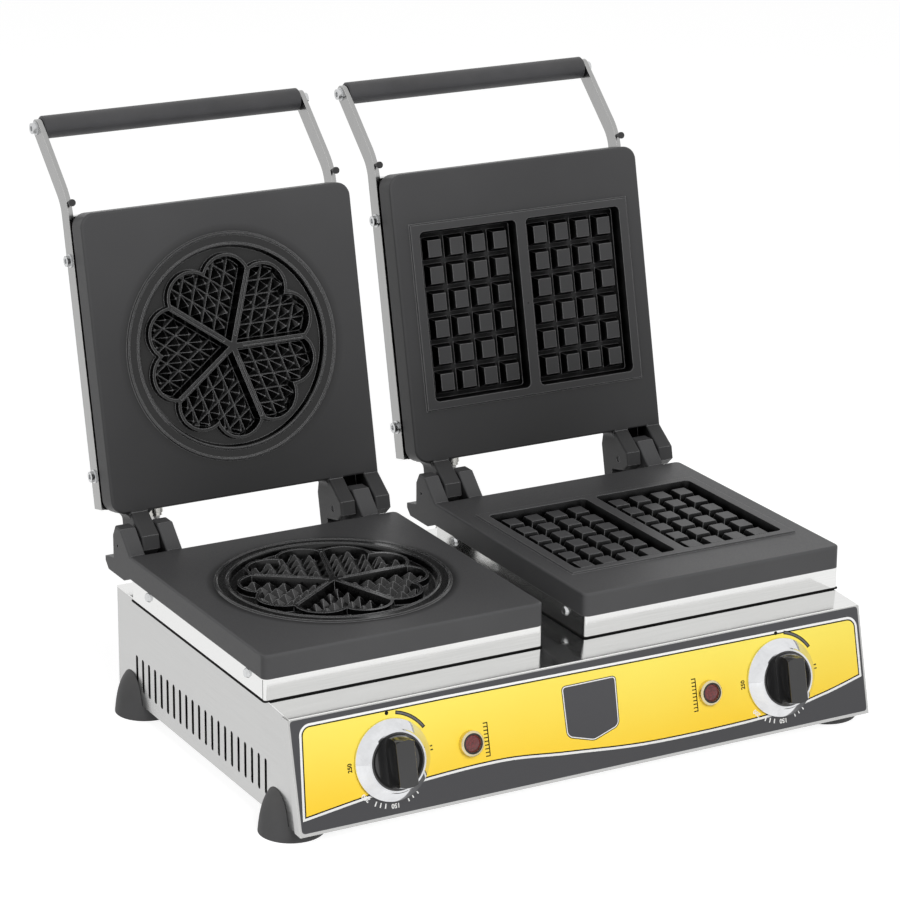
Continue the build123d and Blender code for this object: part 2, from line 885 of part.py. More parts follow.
def make_pedestal_screws(iron_x):
    "Two pan-head screws through each side of a pedestal into the casting's lugs."
    frame = base_frame(iron_x)
    with BuildPart() as screws:
        for sign in (-1, 1):
            wall = sign * (casting_width / 2 - pedestal_inset)
            plane = side_plane(frame, wall)
            for v in (screw_near, screw_far):
                with BuildSketch(plane):
                    with Locations((-v, -slab_back - screw_drop)):
                        Circle(screw_radius)
                extrude(amount=-sign * (casting_width / 2 - pedestal_inset - lug_outer + screw_bite))
                with BuildSketch(plane):
                    with Locations((-v, -slab_back - screw_drop)):
                        Circle(screw_head_radius)
                extrude(amount=sign * screw_head_height, taper=screw_head_draft)
    return screws.part


def make_hinge_pins(iron_x):
    "The two hinge pins of one iron, held tight in the lower ears."
    frame = base_frame(iron_x)
    half = casting_width / 2
    with BuildPart() as pins:
        pin_length = ear_span - pin_cap - 2 * pin_recess
        for start in (-half + pin_cap + pin_recess, half - pin_cap - pin_recess - pin_length):
            with BuildSketch(side_plane(frame, start)):
                Circle(pin_radius)
            extrude(amount=pin_length)
    return pins.part


def make_heater(frame):
    "Tubular heater bent back on itself under a casting, with two terminals."
    level = -slab_back - heater_radius - heater_seat
    back = casting_mid + heater_half_depth
    front = casting_mid - heater_half_depth
    route = [
        (-heater_inner, back),
        (-heater_inner, front + 2 * heater_bend),
        (-heater_half_width, front + 2 * heater_bend),
        (-heater_half_width, front),
        (heater_half_width, front),
        (heater_half_width, front + 2 * heater_bend),
        (heater_inner, front + 2 * heater_bend),
        (heater_inner, back),
    ]
    plane = frame.offset(level)
    with BuildPart() as heater:
        with BuildLine(plane):
            path = FilletPolyline(*route, radius=heater_bend - 1)
        start = plane.from_local_coords(Vector(-heater_inner, back, 0))
        with BuildSketch(Plane(origin=start, x_dir=frame.x_dir, z_dir=frame.y_dir)):
            Circle(heater_radius)
        sweep(path=path.wire())
        for sx in (-1, 1):
            end = plane.from_local_coords(Vector(sx * heater_inner, back, 0))
            with BuildSketch(Plane(origin=end, x_dir=frame.x_dir, z_dir=frame.y_dir)):
                Circle(terminal_radius)
            extrude(amount=terminal_length)
    return heater.part


# Lid


def make_lid_cover(iron_x):
    "Steel cover box behind an upper casting, open towards it."
    frame = lid_frame(iron_x)
    front = -(hinge_setback + casting_depth - cover_front_inset)
    rear = -(hinge_setback + cover_rear_inset)
    middle = (front + rear) / 2
    with BuildPart() as cover:
        with BuildSketch(frame.offset(cover_front)):
            with Locations((0, middle)):
                Rectangle(2 * cover_half, rear - front)
        extrude(amount=cover_height)
        fillet(cover.faces().sort_by(Axis(frame.origin, frame.z_dir))[-1].edges(), cover_corner)
        with BuildSketch(frame.offset(cover_front)):
            with Locations((0, middle)):
                Rectangle(2 * (cover_half - cover_sheet), rear - front - 2 * cover_sheet)
        extrude(amount=cover_height - cover_sheet, mode=Mode.SUBTRACT)
        with BuildSketch(side_plane(frame, -casting_width)):
            with Locations((-bolt_near, arm_height), (-bolt_far, arm_height)):
                Circle(bolt_radius + hole_clearance)
        extrude(amount=2 * casting_width, mode=Mode.SUBTRACT)
        with BuildSketch(rear_plane(frame, rear - 2 * cover_sheet)):
            with Locations((-lid_gland_x, lid_gland_rise)):
                Circle(gland_body_radius + hole_clearance)
        extrude(amount=4 * cover_sheet, mode=Mode.SUBTRACT)
    return cover.part


def make_arm(iron_x, sign):
    "Flat handle arm along the cover's side, bending away from the mould to the grip."
    frame = lid_frame(iron_x)
    plane = side_plane(frame, sign * (arm_inner + arm_thickness / 2))
    with BuildPart() as arm:
        with BuildSketch(plane):
            with BuildLine():
                FilletPolyline(
                    (-arm_start, arm_height),
                    (-arm_bend, arm_height),
                    (-grip_forward, grip_height),
                    radius=arm_bend_radius,
                )
            trace(line_width=arm_width)
            with Locations((-grip_forward, grip_height)):
                Circle(arm_width / 2)
                Circle(bolt_radius + hole_clearance, mode=Mode.SUBTRACT)
            with Locations((-bolt_near, arm_height), (-bolt_far, arm_height)):
                Circle(bolt_radius + hole_clearance, mode=Mode.SUBTRACT)
        extrude(amount=arm_thickness / 2, both=True)
    return arm.part


def make_handle_grip(iron_x):
    "Round grip between the arms, bored from both ends for its bolts."
    frame = lid_frame(iron_x)
    reach = arm_inner - grip_gap
    with BuildPart() as grip:
        with BuildSketch(side_plane(frame, -reach)):
            with Locations((-grip_forward, grip_height)):
                Circle(grip_radius)
        extrude(amount=2 * reach)
        chamfer(grip.edges().filter_by(GeomType.CIRCLE), grip_countersink)
        for sign in (-1, 1):
            with BuildSketch(side_plane(frame, sign * reach)):
                with Locations((-grip_forward, grip_height)):
                    Circle(grip_bore)
            extrude(amount=-sign * (grip_bolt_reach + 1), mode=Mode.SUBTRACT)
    return grip.part


def make_handle_bolts(iron_x):
    "Socket bolts with washers: two through each arm and one into each grip end."
    frame = lid_frame(iron_x)
    with BuildPart() as bolts:
        for sign in (-1, 1):
            outer = side_plane(frame, sign * (arm_inner + arm_thickness))
            places = [
                (-bolt_near, arm_height, bolt_reach + arm_thickness),
                (-bolt_far, arm_height, bolt_reach + arm_thickness),
                (-grip_forward, grip_height, grip_bolt_reach + arm_thickness),
            ]
            for y, z, reach in places:
                with BuildSketch(outer):
                    with Locations((y, z)):
                        Circle(bolt_radius)
                extrude(amount=-sign * reach)
                with BuildSketch(outer):
                    with Locations((y, z)):
                        Circle(washer_radius)
                extrude(amount=sign * washer_height)
                with BuildSketch(outer):
                    with Locations((y, z)):
                        Circle(bolt_head_radius)
                extrude(amount=sign * (washer_height + bolt_head_height))
                with BuildSketch(outer.offset(sign * (washer_height + bolt_head_height))):
                    with Locations((y, z)):
                        RegularPolygon(bolt_socket, 6)
                extrude(amount=-sign * bolt_head_height / 2, mode=Mode.SUBTRACT)
    return bolts.part


def make_arm_studs(iron_x):
    "Small headed stud on the mould side of each arm, at its bend."
    frame = lid_frame(iron_x)
    with BuildPart() as studs:
        for sign in (-1, 1):
            x = sign * (arm_inner + arm_thickness / 2)
            foot = frame.from_local_coords(Vector(x, -stud_place, arm_height - arm_width / 2))
            plane = Plane(origin=foot, x_dir=frame.x_dir, z_dir=frame.z_dir * -1)
            with BuildSketch(plane.offset(-stud_root)):
                Circle(stud_radius)
            extrude(amount=stud_length + stud_root)
            with BuildSketch(plane.offset(stud_length)):
                Circle(stud_cap_radius)
            extrude(amount=stud_cap_height)
    return studs.part


# Controls


def control_plane(x):
    "Plane on the fascia's outer face at a control."
    return Plane(
        origin=fascia_plane.from_local_coords(Vector(x, control_height, 0)),
        x_dir=fascia_plane.x_dir,
        z_dir=fascia_plane.z_dir,
    )


def make_overlay():
    "Printed plastic overlay glued on the fascia, with holes for the controls."
    width = cabinet_width - 2 * overlay_margin
    with BuildPart() as overlay:
        with BuildSketch(fascia_plane):
            with Locations((0, overlay_foot + overlay_height / 2)):
                RectangleRounded(width, overlay_height, overlay_corner)
            with Locations((-knob_offset, control_height), (knob_offset, control_height)):
                Circle(bush_radius + bush_gap, mode=Mode.SUBTRACT)
            with Locations((-lamp_offset, control_height), (lamp_offset, control_height)):
                Circle(bezel_tube_radius + hole_clearance, mode=Mode.SUBTRACT)
        extrude(amount=overlay_thickness)
    return overlay.part


def make_thermostat(x):
    "Thermostat body behind the fascia with its threaded bush."
    plane = control_plane(x)
    with BuildPart() as thermostat:
        with BuildSketch(plane.offset(-sheet)):
            RectangleRounded(thermostat_size, thermostat_size, thermostat_corner)
        extrude(amount=-thermostat_depth)
        with BuildSketch(plane.offset(-sheet)):
            Circle(bush_radius)
        extrude(amount=bush_reach)
        with BuildSketch(plane.offset(bush_reach)):
            Circle(shaft_radius + shaft_clearance)
        extrude(amount=-bush_reach - sheet - shaft_reach, mode=Mode.SUBTRACT)
    return thermostat.part


def make_shaft(x):
    "Thermostat shaft with its flat, turning in the bush."
    plane = control_plane(x)
    with BuildPart() as shaft:
        with BuildSketch(plane.offset(-shaft_reach)):
            Circle(shaft_radius)
        extrude(amount=shaft_reach + knob_height - shaft_cap)
        with BuildSketch(plane.offset(bush_reach + bush_gap)):
            with Locations((0, shaft_radius)):
                Rectangle(4 * shaft_radius, shaft_radius)
        extrude(amount=knob_height, mode=Mode.SUBTRACT)
    return shaft.part


def make_knob_skirt(x):
    "Bright conical skirt round the knob, hollow behind."
    plane = control_plane(x)
    low = overlay_thickness + skirt_gap
    top = low + skirt_height
    with BuildPart() as skirt:
        with BuildSketch(Plane(origin=plane.origin, x_dir=plane.x_dir, z_dir=plane.y_dir * -1)):
            with BuildLine():
                Polyline(
                    (skirt_inner_radius, top - skirt_collar),
                    (skirt_inner_radius, top),
                    (skirt_inner_radius + skirt_lip, top),
                    (skirt_inner_radius + skirt_lip + skirt_step, top - skirt_step_drop),
                    (skirt_radius, low + skirt_edge),
                    (skirt_radius, low),
                    (skirt_radius - skirt_wall, low),
                    (skirt_inner_radius, top - skirt_collar),
                )
            make_face()
        revolve(axis=Axis(plane.origin, plane.z_dir))
    return skirt.part


def make_knob_bar(plane, foot):
    "Finger bar with hollow flanks, its ends cut to the cone of the knob."
    half = knob_bar_width / 2
    waist = (half - knob_bar_waist, (foot + knob_height) / 2)
    across = Plane(origin=plane.origin, x_dir=plane.x_dir, z_dir=plane.y_dir * -1)
    with BuildPart() as bar:
        with BuildSketch(across):
            with BuildLine():
                right = ThreePointArc((half + 1, foot), waist, (half, knob_height))
                left = ThreePointArc((-half, knob_height), (-waist[0], waist[1]), (-half - 1, foot))
                Line(right @ 1, left @ 0)
                Line(left @ 1, right @ 0)
            make_face()
        extrude(amount=grip_disc_radius, both=True)
        fillet(bar.faces().sort_by(Axis(plane.origin, plane.z_dir))[-1].edges(), knob_bar_edge)
        with BuildSketch(plane.offset(foot)):
            Circle(grip_disc_radius - 1)
        extrude(amount=knob_height - foot, taper=knob_bar_draft, mode=Mode.INTERSECT)
    return bar.part


def make_knob_grip(x):
    "Black knob: a dished disc in the skirt with a straight finger bar across it."
    plane = control_plane(x)
    low = overlay_thickness + skirt_gap + knob_gap
    roof = low + bush_reach + bush_gap
    face = low + grip_disc_height
    with BuildPart() as knob:
        with BuildSketch(Plane(origin=plane.origin, x_dir=plane.x_dir, z_dir=plane.y_dir * -1)):
            with BuildLine():
                Polyline(
                    (0, roof),
                    (bush_radius + bush_room, roof),
                    (bush_radius + bush_room, low),
                    (grip_disc_radius - knob_foot_chamfer, low),
                    (grip_disc_radius, low + knob_foot_chamfer),
                    (grip_disc_radius, face + knob_lip_rise),
                    (grip_disc_radius - knob_lip, face + knob_lip_rise),
                    (grip_disc_radius - knob_lip - knob_dish, face),
                    (0, face),
                    (0, roof),
                )
            make_face()
        revolve(axis=Axis(plane.origin, plane.z_dir))
        add(make_knob_bar(plane, roof))
        with BuildSketch(plane):
            Circle(shaft_radius + socket_clearance)
        extrude(amount=knob_height - shaft_cap + socket_play, mode=Mode.SUBTRACT)
    return knob.part


def make_bezel(x):
    "Lamp bezel: a turned ring in front of the fascia and its tube behind."
    plane = control_plane(x)
    front = overlay_thickness + bezel_height
    seat = front - lens_sink - lens_seat
    tube_inside = bezel_tube_radius - bezel_wall
    well_radius = lens_radius + lens_clearance
    with BuildPart() as bezel:
        with BuildSketch(Plane(origin=plane.origin, x_dir=plane.x_dir, z_dir=plane.y_dir * -1)):
            with BuildLine():
                Polyline(
                    (tube_inside, -bezel_tube_length),
                    (bezel_tube_radius, -bezel_tube_length),
                    (bezel_tube_radius, overlay_thickness),
                    (bezel_radius, overlay_thickness),
                    (bezel_radius, front - bezel_edge),
                    (bezel_radius - bezel_edge, front),
                    (well_radius + bezel_bevel, front),
                    (well_radius, front - bezel_bevel),
                    (well_radius, seat),
                    (tube_inside, seat),
                    (tube_inside, -bezel_tube_length),
                )
            make_face()
        revolve(axis=Axis(plane.origin, plane.z_dir))
    return bezel.part


def make_lens(x):
    "Round lamp lens, slightly crowned, seated in its bezel."
    plane = control_plane(x)
    seat = overlay_thickness + bezel_height - lens_sink - lens_seat
    rim = seat + lens_seat
    with BuildPart() as lens:
        with BuildSketch(Plane(origin=plane.origin, x_dir=plane.x_dir, z_dir=plane.y_dir * -1)):
            with BuildLine():
                crown = ThreePointArc(
                    (0, rim + lens_crown),
                    (lens_radius * 0.55, rim + lens_crown * 0.72),
                    (lens_radius, rim),
                )
                Polyline(crown @ 1, (lens_radius, seat), (0, seat), crown @ 0)
            make_face()
        revolve(axis=Axis(plane.origin, plane.z_dir))
    return lens.part


# Cable entries


def make_gland(plane, body_radius, nut_radius):
    "Cable gland on a wall: hexagon nut and ribbed body outside, lock nut inside."
    with BuildPart() as gland:
        with BuildSketch(plane.offset(-sheet - gland_thread)):
            Circle(body_radius)
        extrude(amount=sheet + gland_thread + gland_body_height)
        with BuildSketch(plane):
            RegularPolygon(nut_radius, 6)
        extrude(amount=gland_nut_height)
        with BuildSketch(plane.offset(gland_nut_height + gland_collar_gap)):
            Circle(nut_radius - gland_collar_step)
        extrude(amount=gland_body_height - gland_nut_height - 2.5 * gland_collar_gap)
        with BuildSketch(plane.offset(-sheet - lock_nut_gap)):
            RegularPolygon(nut_radius, 6)
        extrude(amount=-lock_nut_height)
    return gland.part


def lid_gland_plane(iron_x):
    "Outer face of the lid cover's rear wall at its gland."
    frame = lid_frame(iron_x)
    wall = rear_plane(frame, -(hinge_setback + cover_rear_inset))
    return Plane(
        origin=wall.from_local_coords(Vector(-lid_gland_x, lid_gland_rise, 0)),
        x_dir=wall.x_dir,
        z_dir=wall.z_dir,
    )


def base_gland_plane(x, height):
    "Outer face of the back panel at a gland, at a height above the counter."
    return Plane(origin=(x, back_y - seam, height), x_dir=(-1, 0, 0), z_dir=(0, 1, 0))


def conduit_points(iron_x):
    "Corners of a conduit's route, from the lid's gland down to the back panel's."
    lid_end = lid_gland_plane(iron_x).offset(gland_body_height)
    drop = lid_end.origin + lid_end.z_dir * conduit_drop
    turns = [radians(k * conduit_turn) for k in range(4)]
    runs = [Vector(0, cos(turn), sin(turn)) for turn in turns]
    loop = (runs[0] + runs[1] + runs[2]) * conduit_run
    panel_end = back_y - seam + gland_body_height
    long_run = (drop.Y - panel_end - loop.Y) / runs[3].Y
    low = drop - runs[3] * long_run
    return [
        lid_end.origin,
        drop,
        low,
        low - runs[2] * conduit_run,
        low - (runs[1] + runs[2]) * conduit_run,
        low - loop,
    ]


def make_conduit(iron_x):
    "Flexible conduit from the back panel to the lid, in its open shape."
    points = conduit_points(iron_x)
    radii = []
    for before, corner, after in zip(points, points[1:], points[2:]):
        near = corner - before
        far = after - corner
        bend = radians(near.get_angle(far))
        radii.append(conduit_ease * min(near.length, far.length) / tan(bend / 2))
    with BuildPart() as conduit:
        with BuildLine():
            path = FilletPolyline(*points, radius=radii)
        with BuildSketch(Plane(origin=points[0], z_dir=points[1] - points[0])):
            Circle(conduit_radius)
        sweep(path=path.wire())
    return conduit.part


def make_terminal_block():
    "Ceramic terminal block on the bottom cover, behind the mains entry."
    x = mains_gland_x - terminal_block_shift
    foot = Plane(origin=(x, back_y - terminal_block_setback, floor_gap + 2 * sheet))
    with BuildPart() as block:
        with BuildSketch(foot):
            RectangleRounded(terminal_block_width, terminal_block_depth, terminal_block_corner)
        extrude(amount=terminal_block_height)
        with BuildSketch(foot.offset(terminal_block_height)):
            with GridLocations(terminal_pitch, terminal_rows, 3, 2):
                Circle(terminal_bore)
        extrude(amount=-terminal_sink, mode=Mode.SUBTRACT)
    return block.part


# Write every piece

write_part(make_side_panel(-1), "side_panel_left")
write_part(make_side_panel(1), "side_panel_right")
write_part(make_top_deck(), "top_deck")
write_part(make_front_fascia(), "front_fascia")
write_part(make_back_panel(), "back_panel")
write_part(make_bottom_cover(), "bottom_cover")
write_part(make_overlay(), "fascia_overlay")
foot_names = ("foot_front_left", "foot_front_right", "foot_rear_left", "foot_rear_right")
for foot_name, foot_place in zip(foot_names, foot_places()):
    write_part(make_foot(foot_place), foot_name)
write_part(make_foot_screws(), "foot_screws")
write_part(make_terminal_block(), "terminal_block")
mains_plane = base_gland_plane(mains_gland_x, floor_gap + mains_gland_height)
write_part(make_gland(mains_plane, mains_gland_radius, mains_nut_radius), "mains_gland")

inserts = {"hearts": make_heart_insert(), "grid": make_grid_insert()}
for side, iron_x in iron_places.items():
    mould = "hearts" if side == "left" else "grid"
    insert = inserts[mould]
    sign = -1 if side == "left" else 1
    lower = base_frame(iron_x)
    upper = upper_frame(iron_x)
    lower_bores = [(-v, -slab_back - screw_drop) for v in (screw_near, screw_far)]
    upper_bores = [(-v, -arm_height) for v in (bolt_near, bolt_far)]
    screw_bore = screw_radius + hole_clearance
    bolt_bore = bolt_radius + hole_clearance
    loose_pin = pin_radius + pin_clearance
    lower_plate = make_casting(lower, mould, insert, 0, base_corner, pin_radius, lower_bores, screw_bore)
    upper_plate = make_casting(upper, mould, insert, 180, casting_corner, loose_pin, upper_bores, bolt_bore)
    write_part(lower_plate, f"{side}_lower_plate")
    write_part(upper_plate, f"{side}_upper_plate")
    write_part(make_pedestal(iron_x), f"{side}_pedestal")
    write_part(make_pedestal_screws(iron_x), f"{side}_pedestal_screws")
    write_part(make_hinge_pins(iron_x), f"{side}_hinge_pins")
    write_part(make_heater(lower), f"{side}_lower_heater")
    write_part(make_heater(upper), f"{side}_upper_heater")
    write_part(make_lid_cover(iron_x), f"{side}_lid_cover")
    write_part(make_arm(iron_x, -1), f"{side}_handle_arm_left")
    write_part(make_arm(iron_x, 1), f"{side}_handle_arm_right")
    write_part(make_handle_grip(iron_x), f"{side}_handle_grip")
    write_part(make_handle_bolts(iron_x), f"{side}_handle_bolts")
    write_part(make_arm_studs(iron_x), f"{side}_arm_studs")
    write_part(make_gland(lid_gland_plane(iron_x), gland_body_radius, gland_nut_radius), f"{side}_lid_gland")
    base_plane = base_gland_plane(iron_x + lid_gland_x, conduit_points(iron_x)[-1].Z)
    write_part(make_gland(base_plane, gland_body_radius, gland_nut_radius), f"{side}_base_gland")
    write_part(make_conduit(iron_x), f"{side}_conduit")
    write_part(make_thermostat(sign * knob_offset), f"{side}_thermostat")
    write_part(make_shaft(sign * knob_offset), f"{side}_thermostat_shaft")
    write_part(make_knob_skirt(sign * knob_offset), f"{side}_knob_skirt")
    write_part(make_knob_grip(sign * knob_offset), f"{side}_knob_grip")
    write_part(make_bezel(sign * lamp_offset), f"{side}_lamp_bezel")
    write_part(make_lens(sign * lamp_offset), f"{side}_lamp_lens")
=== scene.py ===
import json
from math import cos, pi, radians, sin, sqrt

import bmesh
import bpy
from bpy.props import FloatProperty, FloatVectorProperty, PointerProperty
from mathutils import Matrix, Vector
from mathutils.geometry import tessellate_polygon


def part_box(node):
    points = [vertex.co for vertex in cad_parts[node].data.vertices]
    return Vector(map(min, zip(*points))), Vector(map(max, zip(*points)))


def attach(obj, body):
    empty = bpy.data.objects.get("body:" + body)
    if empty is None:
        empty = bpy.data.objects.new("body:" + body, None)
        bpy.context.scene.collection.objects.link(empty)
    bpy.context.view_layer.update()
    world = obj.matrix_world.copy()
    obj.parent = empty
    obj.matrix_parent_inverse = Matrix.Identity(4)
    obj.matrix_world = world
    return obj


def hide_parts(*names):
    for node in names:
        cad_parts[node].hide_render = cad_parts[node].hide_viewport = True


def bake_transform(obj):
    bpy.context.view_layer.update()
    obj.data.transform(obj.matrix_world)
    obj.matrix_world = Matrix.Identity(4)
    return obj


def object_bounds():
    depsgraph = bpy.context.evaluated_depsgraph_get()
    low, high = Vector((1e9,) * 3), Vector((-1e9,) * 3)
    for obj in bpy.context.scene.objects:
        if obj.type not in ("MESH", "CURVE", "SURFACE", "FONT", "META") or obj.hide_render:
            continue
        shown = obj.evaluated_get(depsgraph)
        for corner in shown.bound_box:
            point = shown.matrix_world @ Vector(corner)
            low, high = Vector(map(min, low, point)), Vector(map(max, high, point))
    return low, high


bl_info = {
    "name": "Double Waffle Maker",
    "version": (1, 0, 0),
    "blender": (4, 5, 0),
    "location": "3D View > Sidebar > Waffle",
    "description": "Finishes, printed fascia, conduits and studio for a double waffle maker",
    "category": "Object",
}

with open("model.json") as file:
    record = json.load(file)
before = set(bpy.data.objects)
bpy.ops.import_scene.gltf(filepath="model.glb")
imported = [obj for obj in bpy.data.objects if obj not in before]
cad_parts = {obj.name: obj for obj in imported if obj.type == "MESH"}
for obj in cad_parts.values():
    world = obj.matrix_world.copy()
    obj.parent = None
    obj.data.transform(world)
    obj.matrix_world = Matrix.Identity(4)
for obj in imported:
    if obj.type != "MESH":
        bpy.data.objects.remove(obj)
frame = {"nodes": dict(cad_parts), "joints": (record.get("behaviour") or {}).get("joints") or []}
CAD_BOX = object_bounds()
NODES = frame["nodes"]
JOINTS = {joint["name"]: joint for joint in frame["joints"]}
SIDES = ("left", "right")

MM = 0.001
DECK_TOP = 0.1131  # metres, as the centre below is
CABINET_CENTRE = (0.0, -0.06, 0.06)
LID_OPEN = 102.4  # degrees from closed
MOULD_FROM_HINGE = 162.5  # millimetres, as the lengths below are
DIAL_HEIGHT = 49.2  # knob and lamp axes, up the slope from the fascia's lower edge
FILM_FACE = 0.4  # front of the printed film, above the fascia's sheet
INK = 0.03  # thickness of one layer of print
KNOB_X = 194.5
LAMP_X = 119.5
IRON_X = 154.5
SHADE_STRIP_PROUD = 0.9  # how far the dark strip of painted shade at the pedestal's foot stands outside its wall
SHADE_STRIP_UNDER = 1.4  # and how far it goes in
SHADE_STRIP_HEIGHT = 1.1
SEAM_BACK = 3.2  # dark line of painted shade in the folded corner, behind the front face
SEAM_WIDTH = 0.8
SHADE_STRIP_ROUNDING = 2.5
GASKET_RADII = (9.1, 7.65)
GASKET_ARC = (0, 350, 35)  # first and last angle of a ring's points, and the steps between
GASKET_RISE = (6.2, 6.5)  # back and front of the lamp gasket, above the fascia's sheet
CORNER_STEPS = 8
SHARPEST = 0.35  # cosine at which a grown corner stops reaching out

ACROSS = Vector((1, 0, 0))
FASCIA_OUT = Vector(JOINTS["left_knob_turn"]["axis"]).normalized()
FASCIA_UP = FASCIA_OUT.cross(ACROSS)
FASCIA_FOOT = Vector(JOINTS["left_knob_turn"]["pos_m"]) - FASCIA_UP * DIAL_HEIGHT * MM
FASCIA_FOOT.x = 0.0


def on_fascia(x, rise, out):
    "Place on the leaning fascia, in metres, from millimetres across, up its slope and out of it."
    return FASCIA_FOOT + (ACROSS * x + FASCIA_UP * rise + FASCIA_OUT * out) * MM


def linear(*channels):
    "Linear colour from screen values of 0 to 255."
    shares = [channel / 255 for channel in channels]
    return tuple(s / 12.92 if s <= 0.04045 else ((s + 0.055) / 1.055) ** 2.4 for s in shares) + (1.0,)


def opaque(colour, share=1.0):
    "Solid colour with its channels times the share."
    return tuple(c * share for c in colour[:3]) + (1.0,)


# Outlines and meshes


def arc_points(centre, radius, start, end, steps):
    "Points of an arc, its angles in degrees anticlockwise from the first axis."
    turns = [radians(start + (end - start) * k / steps) for k in range(steps + 1)]
    return [(centre[0] + radius * cos(t), centre[1] + radius * sin(t)) for t in turns]


def smooth_line(points, steps):
    "Catmull-Rom line through the points."
    ends = [points[0]] + list(points) + [points[-1]]
    line = []
    for a, b, c, d in zip(ends, ends[1:], ends[2:], ends[3:]):
        for k in range(steps):
            t = k / steps
            weights = (
                -t / 2 + t * t - t**3 / 2,
                1 - 2.5 * t * t + 1.5 * t**3,
                t / 2 + 2 * t * t - 1.5 * t**3,
                -t * t / 2 + t**3 / 2,
            )
            line.append(tuple(sum(w * p[i] for w, p in zip(weights, (a, b, c, d))) for i in (0, 1)))
    return line + [tuple(points[-1])]


def rounded_corner(before, corner, after, radius):
    "Arc that rounds one corner of an outline."
    corner = Vector(corner)
    into = (Vector(before) - corner).normalized()
    away = (Vector(after) - corner).normalized()
    half = into.angle(away) / 2
    bisector = (into + away).normalized()
    centre = corner + bisector * radius / sin(half)
    start = corner + into * radius / (sin(half) / cos(half)) - centre
    end = corner + away * radius / (sin(half) / cos(half)) - centre
    sweep = start.angle_signed(end)
    points = []
    for k in range(CORNER_STEPS + 1):
        spoke = start.copy()
        spoke.rotate(Matrix.Rotation(-sweep * k / CORNER_STEPS, 2))
        points.append(tuple(centre + spoke))
    return points


def rounded_outline(corners, radii):
    "Closed outline with each corner rounded by its own radius."
    outline = []
    count = len(corners)
    for k, (corner, radius) in enumerate(zip(corners, radii)):
        outline += rounded_corner(corners[k - 1], corner, corners[(k + 1) % count], radius)
    return outline


def rectangle(x, y, width, depth):
    "Corners of a rectangle round its middle, anticlockwise."
    return [(x + sx * width / 2, y + sy * depth / 2) for sx, sy in ((-1, -1), (1, -1), (1, 1), (-1, 1))]


def plainly(x, y, z):
    "Place in metres, from millimetres."
    return Vector((x, y, z)) * MM


def grown(outline, margin):
    "The anticlockwise outline, moved outwards by the margin."
    wide = []
    count = len(outline)
    for k, point in enumerate(outline):
        point = Vector(point)
        back = (point - Vector(outline[k - 1])).normalized()
        ahead = (Vector(outline[(k + 1) % count]) - point).normalized()
        normal = Vector((back.y + ahead.y, -back.x - ahead.x)).normalized()
        reach = margin / max(SHARPEST, normal.dot(Vector((back.y, -back.x))))
        wide.append(tuple(point + normal * reach))
    return wide


def plate_mesh(name, rings, low, high, place):
    "Closed flat plate between two heights, from an outline and the holes in it."
    flat = [point for ring in rings for point in ring]
    mesh = bmesh.new()
    lower = [mesh.verts.new(place(x, y, low)) for x, y in flat]
    upper = [mesh.verts.new(place(x, y, high)) for x, y in flat]
    for triangle in tessellate_polygon([[Vector((x, y, 0)) for x, y in ring] for ring in rings]):
        mesh.faces.new([upper[k] for k in triangle])
        mesh.faces.new([lower[k] for k in reversed(triangle)])
    first = 0
    for ring in rings:
        for k in range(len(ring)):
            a, b = first + k, first + (k + 1) % len(ring)
            mesh.faces.new((lower[a], lower[b], upper[b], upper[a]))
        first += len(ring)
    bmesh.ops.recalc_face_normals(mesh, faces=mesh.faces)
    return finished_mesh(name, mesh)


def finished_mesh(name, mesh, smooth=False):
    "Writes a bmesh to a new mesh and frees it."
    data = bpy.data.meshes.new(name)
    mesh.to_mesh(data)
    mesh.free()
    for face in data.polygons:
        face.use_smooth = smooth
    return data


def joined_mesh(name, meshes):
    "One mesh from several."
    whole = bmesh.new()
    for mesh in meshes:
        whole.from_mesh(mesh)
        bpy.data.meshes.remove(mesh)
    return finished_mesh(name, whole)


def add_piece(name, data, body, material):
    "Puts a mesh in the scene, riding on a body and its finish."
    piece = bpy.data.objects.new(name, data)
    bpy.context.scene.collection.objects.link(piece)
    data.materials.clear()
    data.materials.append(material)
    if body:
        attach(piece, body)
    return piece


# Shader groups and materials


NOISE_SPAN = (0.3, 0.7)  # where most of a noise lies
NOISE_CORE = (0.35, 0.65)
OPEN_SKY = (0.5, 0.97)  # share of the open seen from a pit and from a flat face
PIT_DISTANCE = 0.022  # metres
BRUSH_SPREAD = (-0.03, 0.04)  # roughness of the brush lines, from their mean
SMUDGE_SPREAD = (-0.03, 0.05)
UNPOLISHED = 0.4  # roughness added to the faces turned inwards
PORE_SPREAD = (-0.05, 0.09)
SKIN_SPREAD = (-0.05, 0.07)
FILM_SPREAD = (-0.04, 0.05)
HEEL_SHADE_REACH = 0.36  # metres from the hinge that the painted shade fades over
HEEL_SHADE_CORE = 0.1
PATCHES = 1.15  # paler patches of the castings, times their colour
MOULD_SOOT = 0.8
MOULD_DARKNESS = 0.7
PIT_DARKNESS = 0.92
# share of the painted edge highlight on the castings
EDGE_HIGHLIGHT_SHARE = 0.8
IRON_DUST = 0.03
MOULD_POLISH = -0.12
PALER = 1.45  # the pale patches of a skin and its painted edge highlights, times its colour and with this added
PALEST = 0.004
SKIN_PATCHES = 0.6
SKIN_HIGHLIGHT_AND_WEAR = 0.5
WORN_PLATING = 0.86
CLEAN = 0.8  # roughness of clean and of handled plating, times its own
HANDLED = 1.5
LEAST_ROUGH = 0.01
TUBE_ROUGH = (0.35, 0.6)
LENS_ROUGH = (0.12, 0.3)
FADE_RISE = (15, 92)  # foot and top of the printed colours, up the fascia's slope
FADE_DRIFT = 0.12


def wired(tree, kind, values=None, **settings):
    "Adds a shader node; each value is a constant or the output socket that feeds the input."
    node = tree.nodes.new(kind)
    for key, value in settings.items():
        setattr(node, key, value)
    for key, value in (values or {}).items():
        if isinstance(value, bpy.types.NodeSocket):
            tree.links.new(value, node.inputs[key])
        else:
            node.inputs[key].default_value = value
    return node


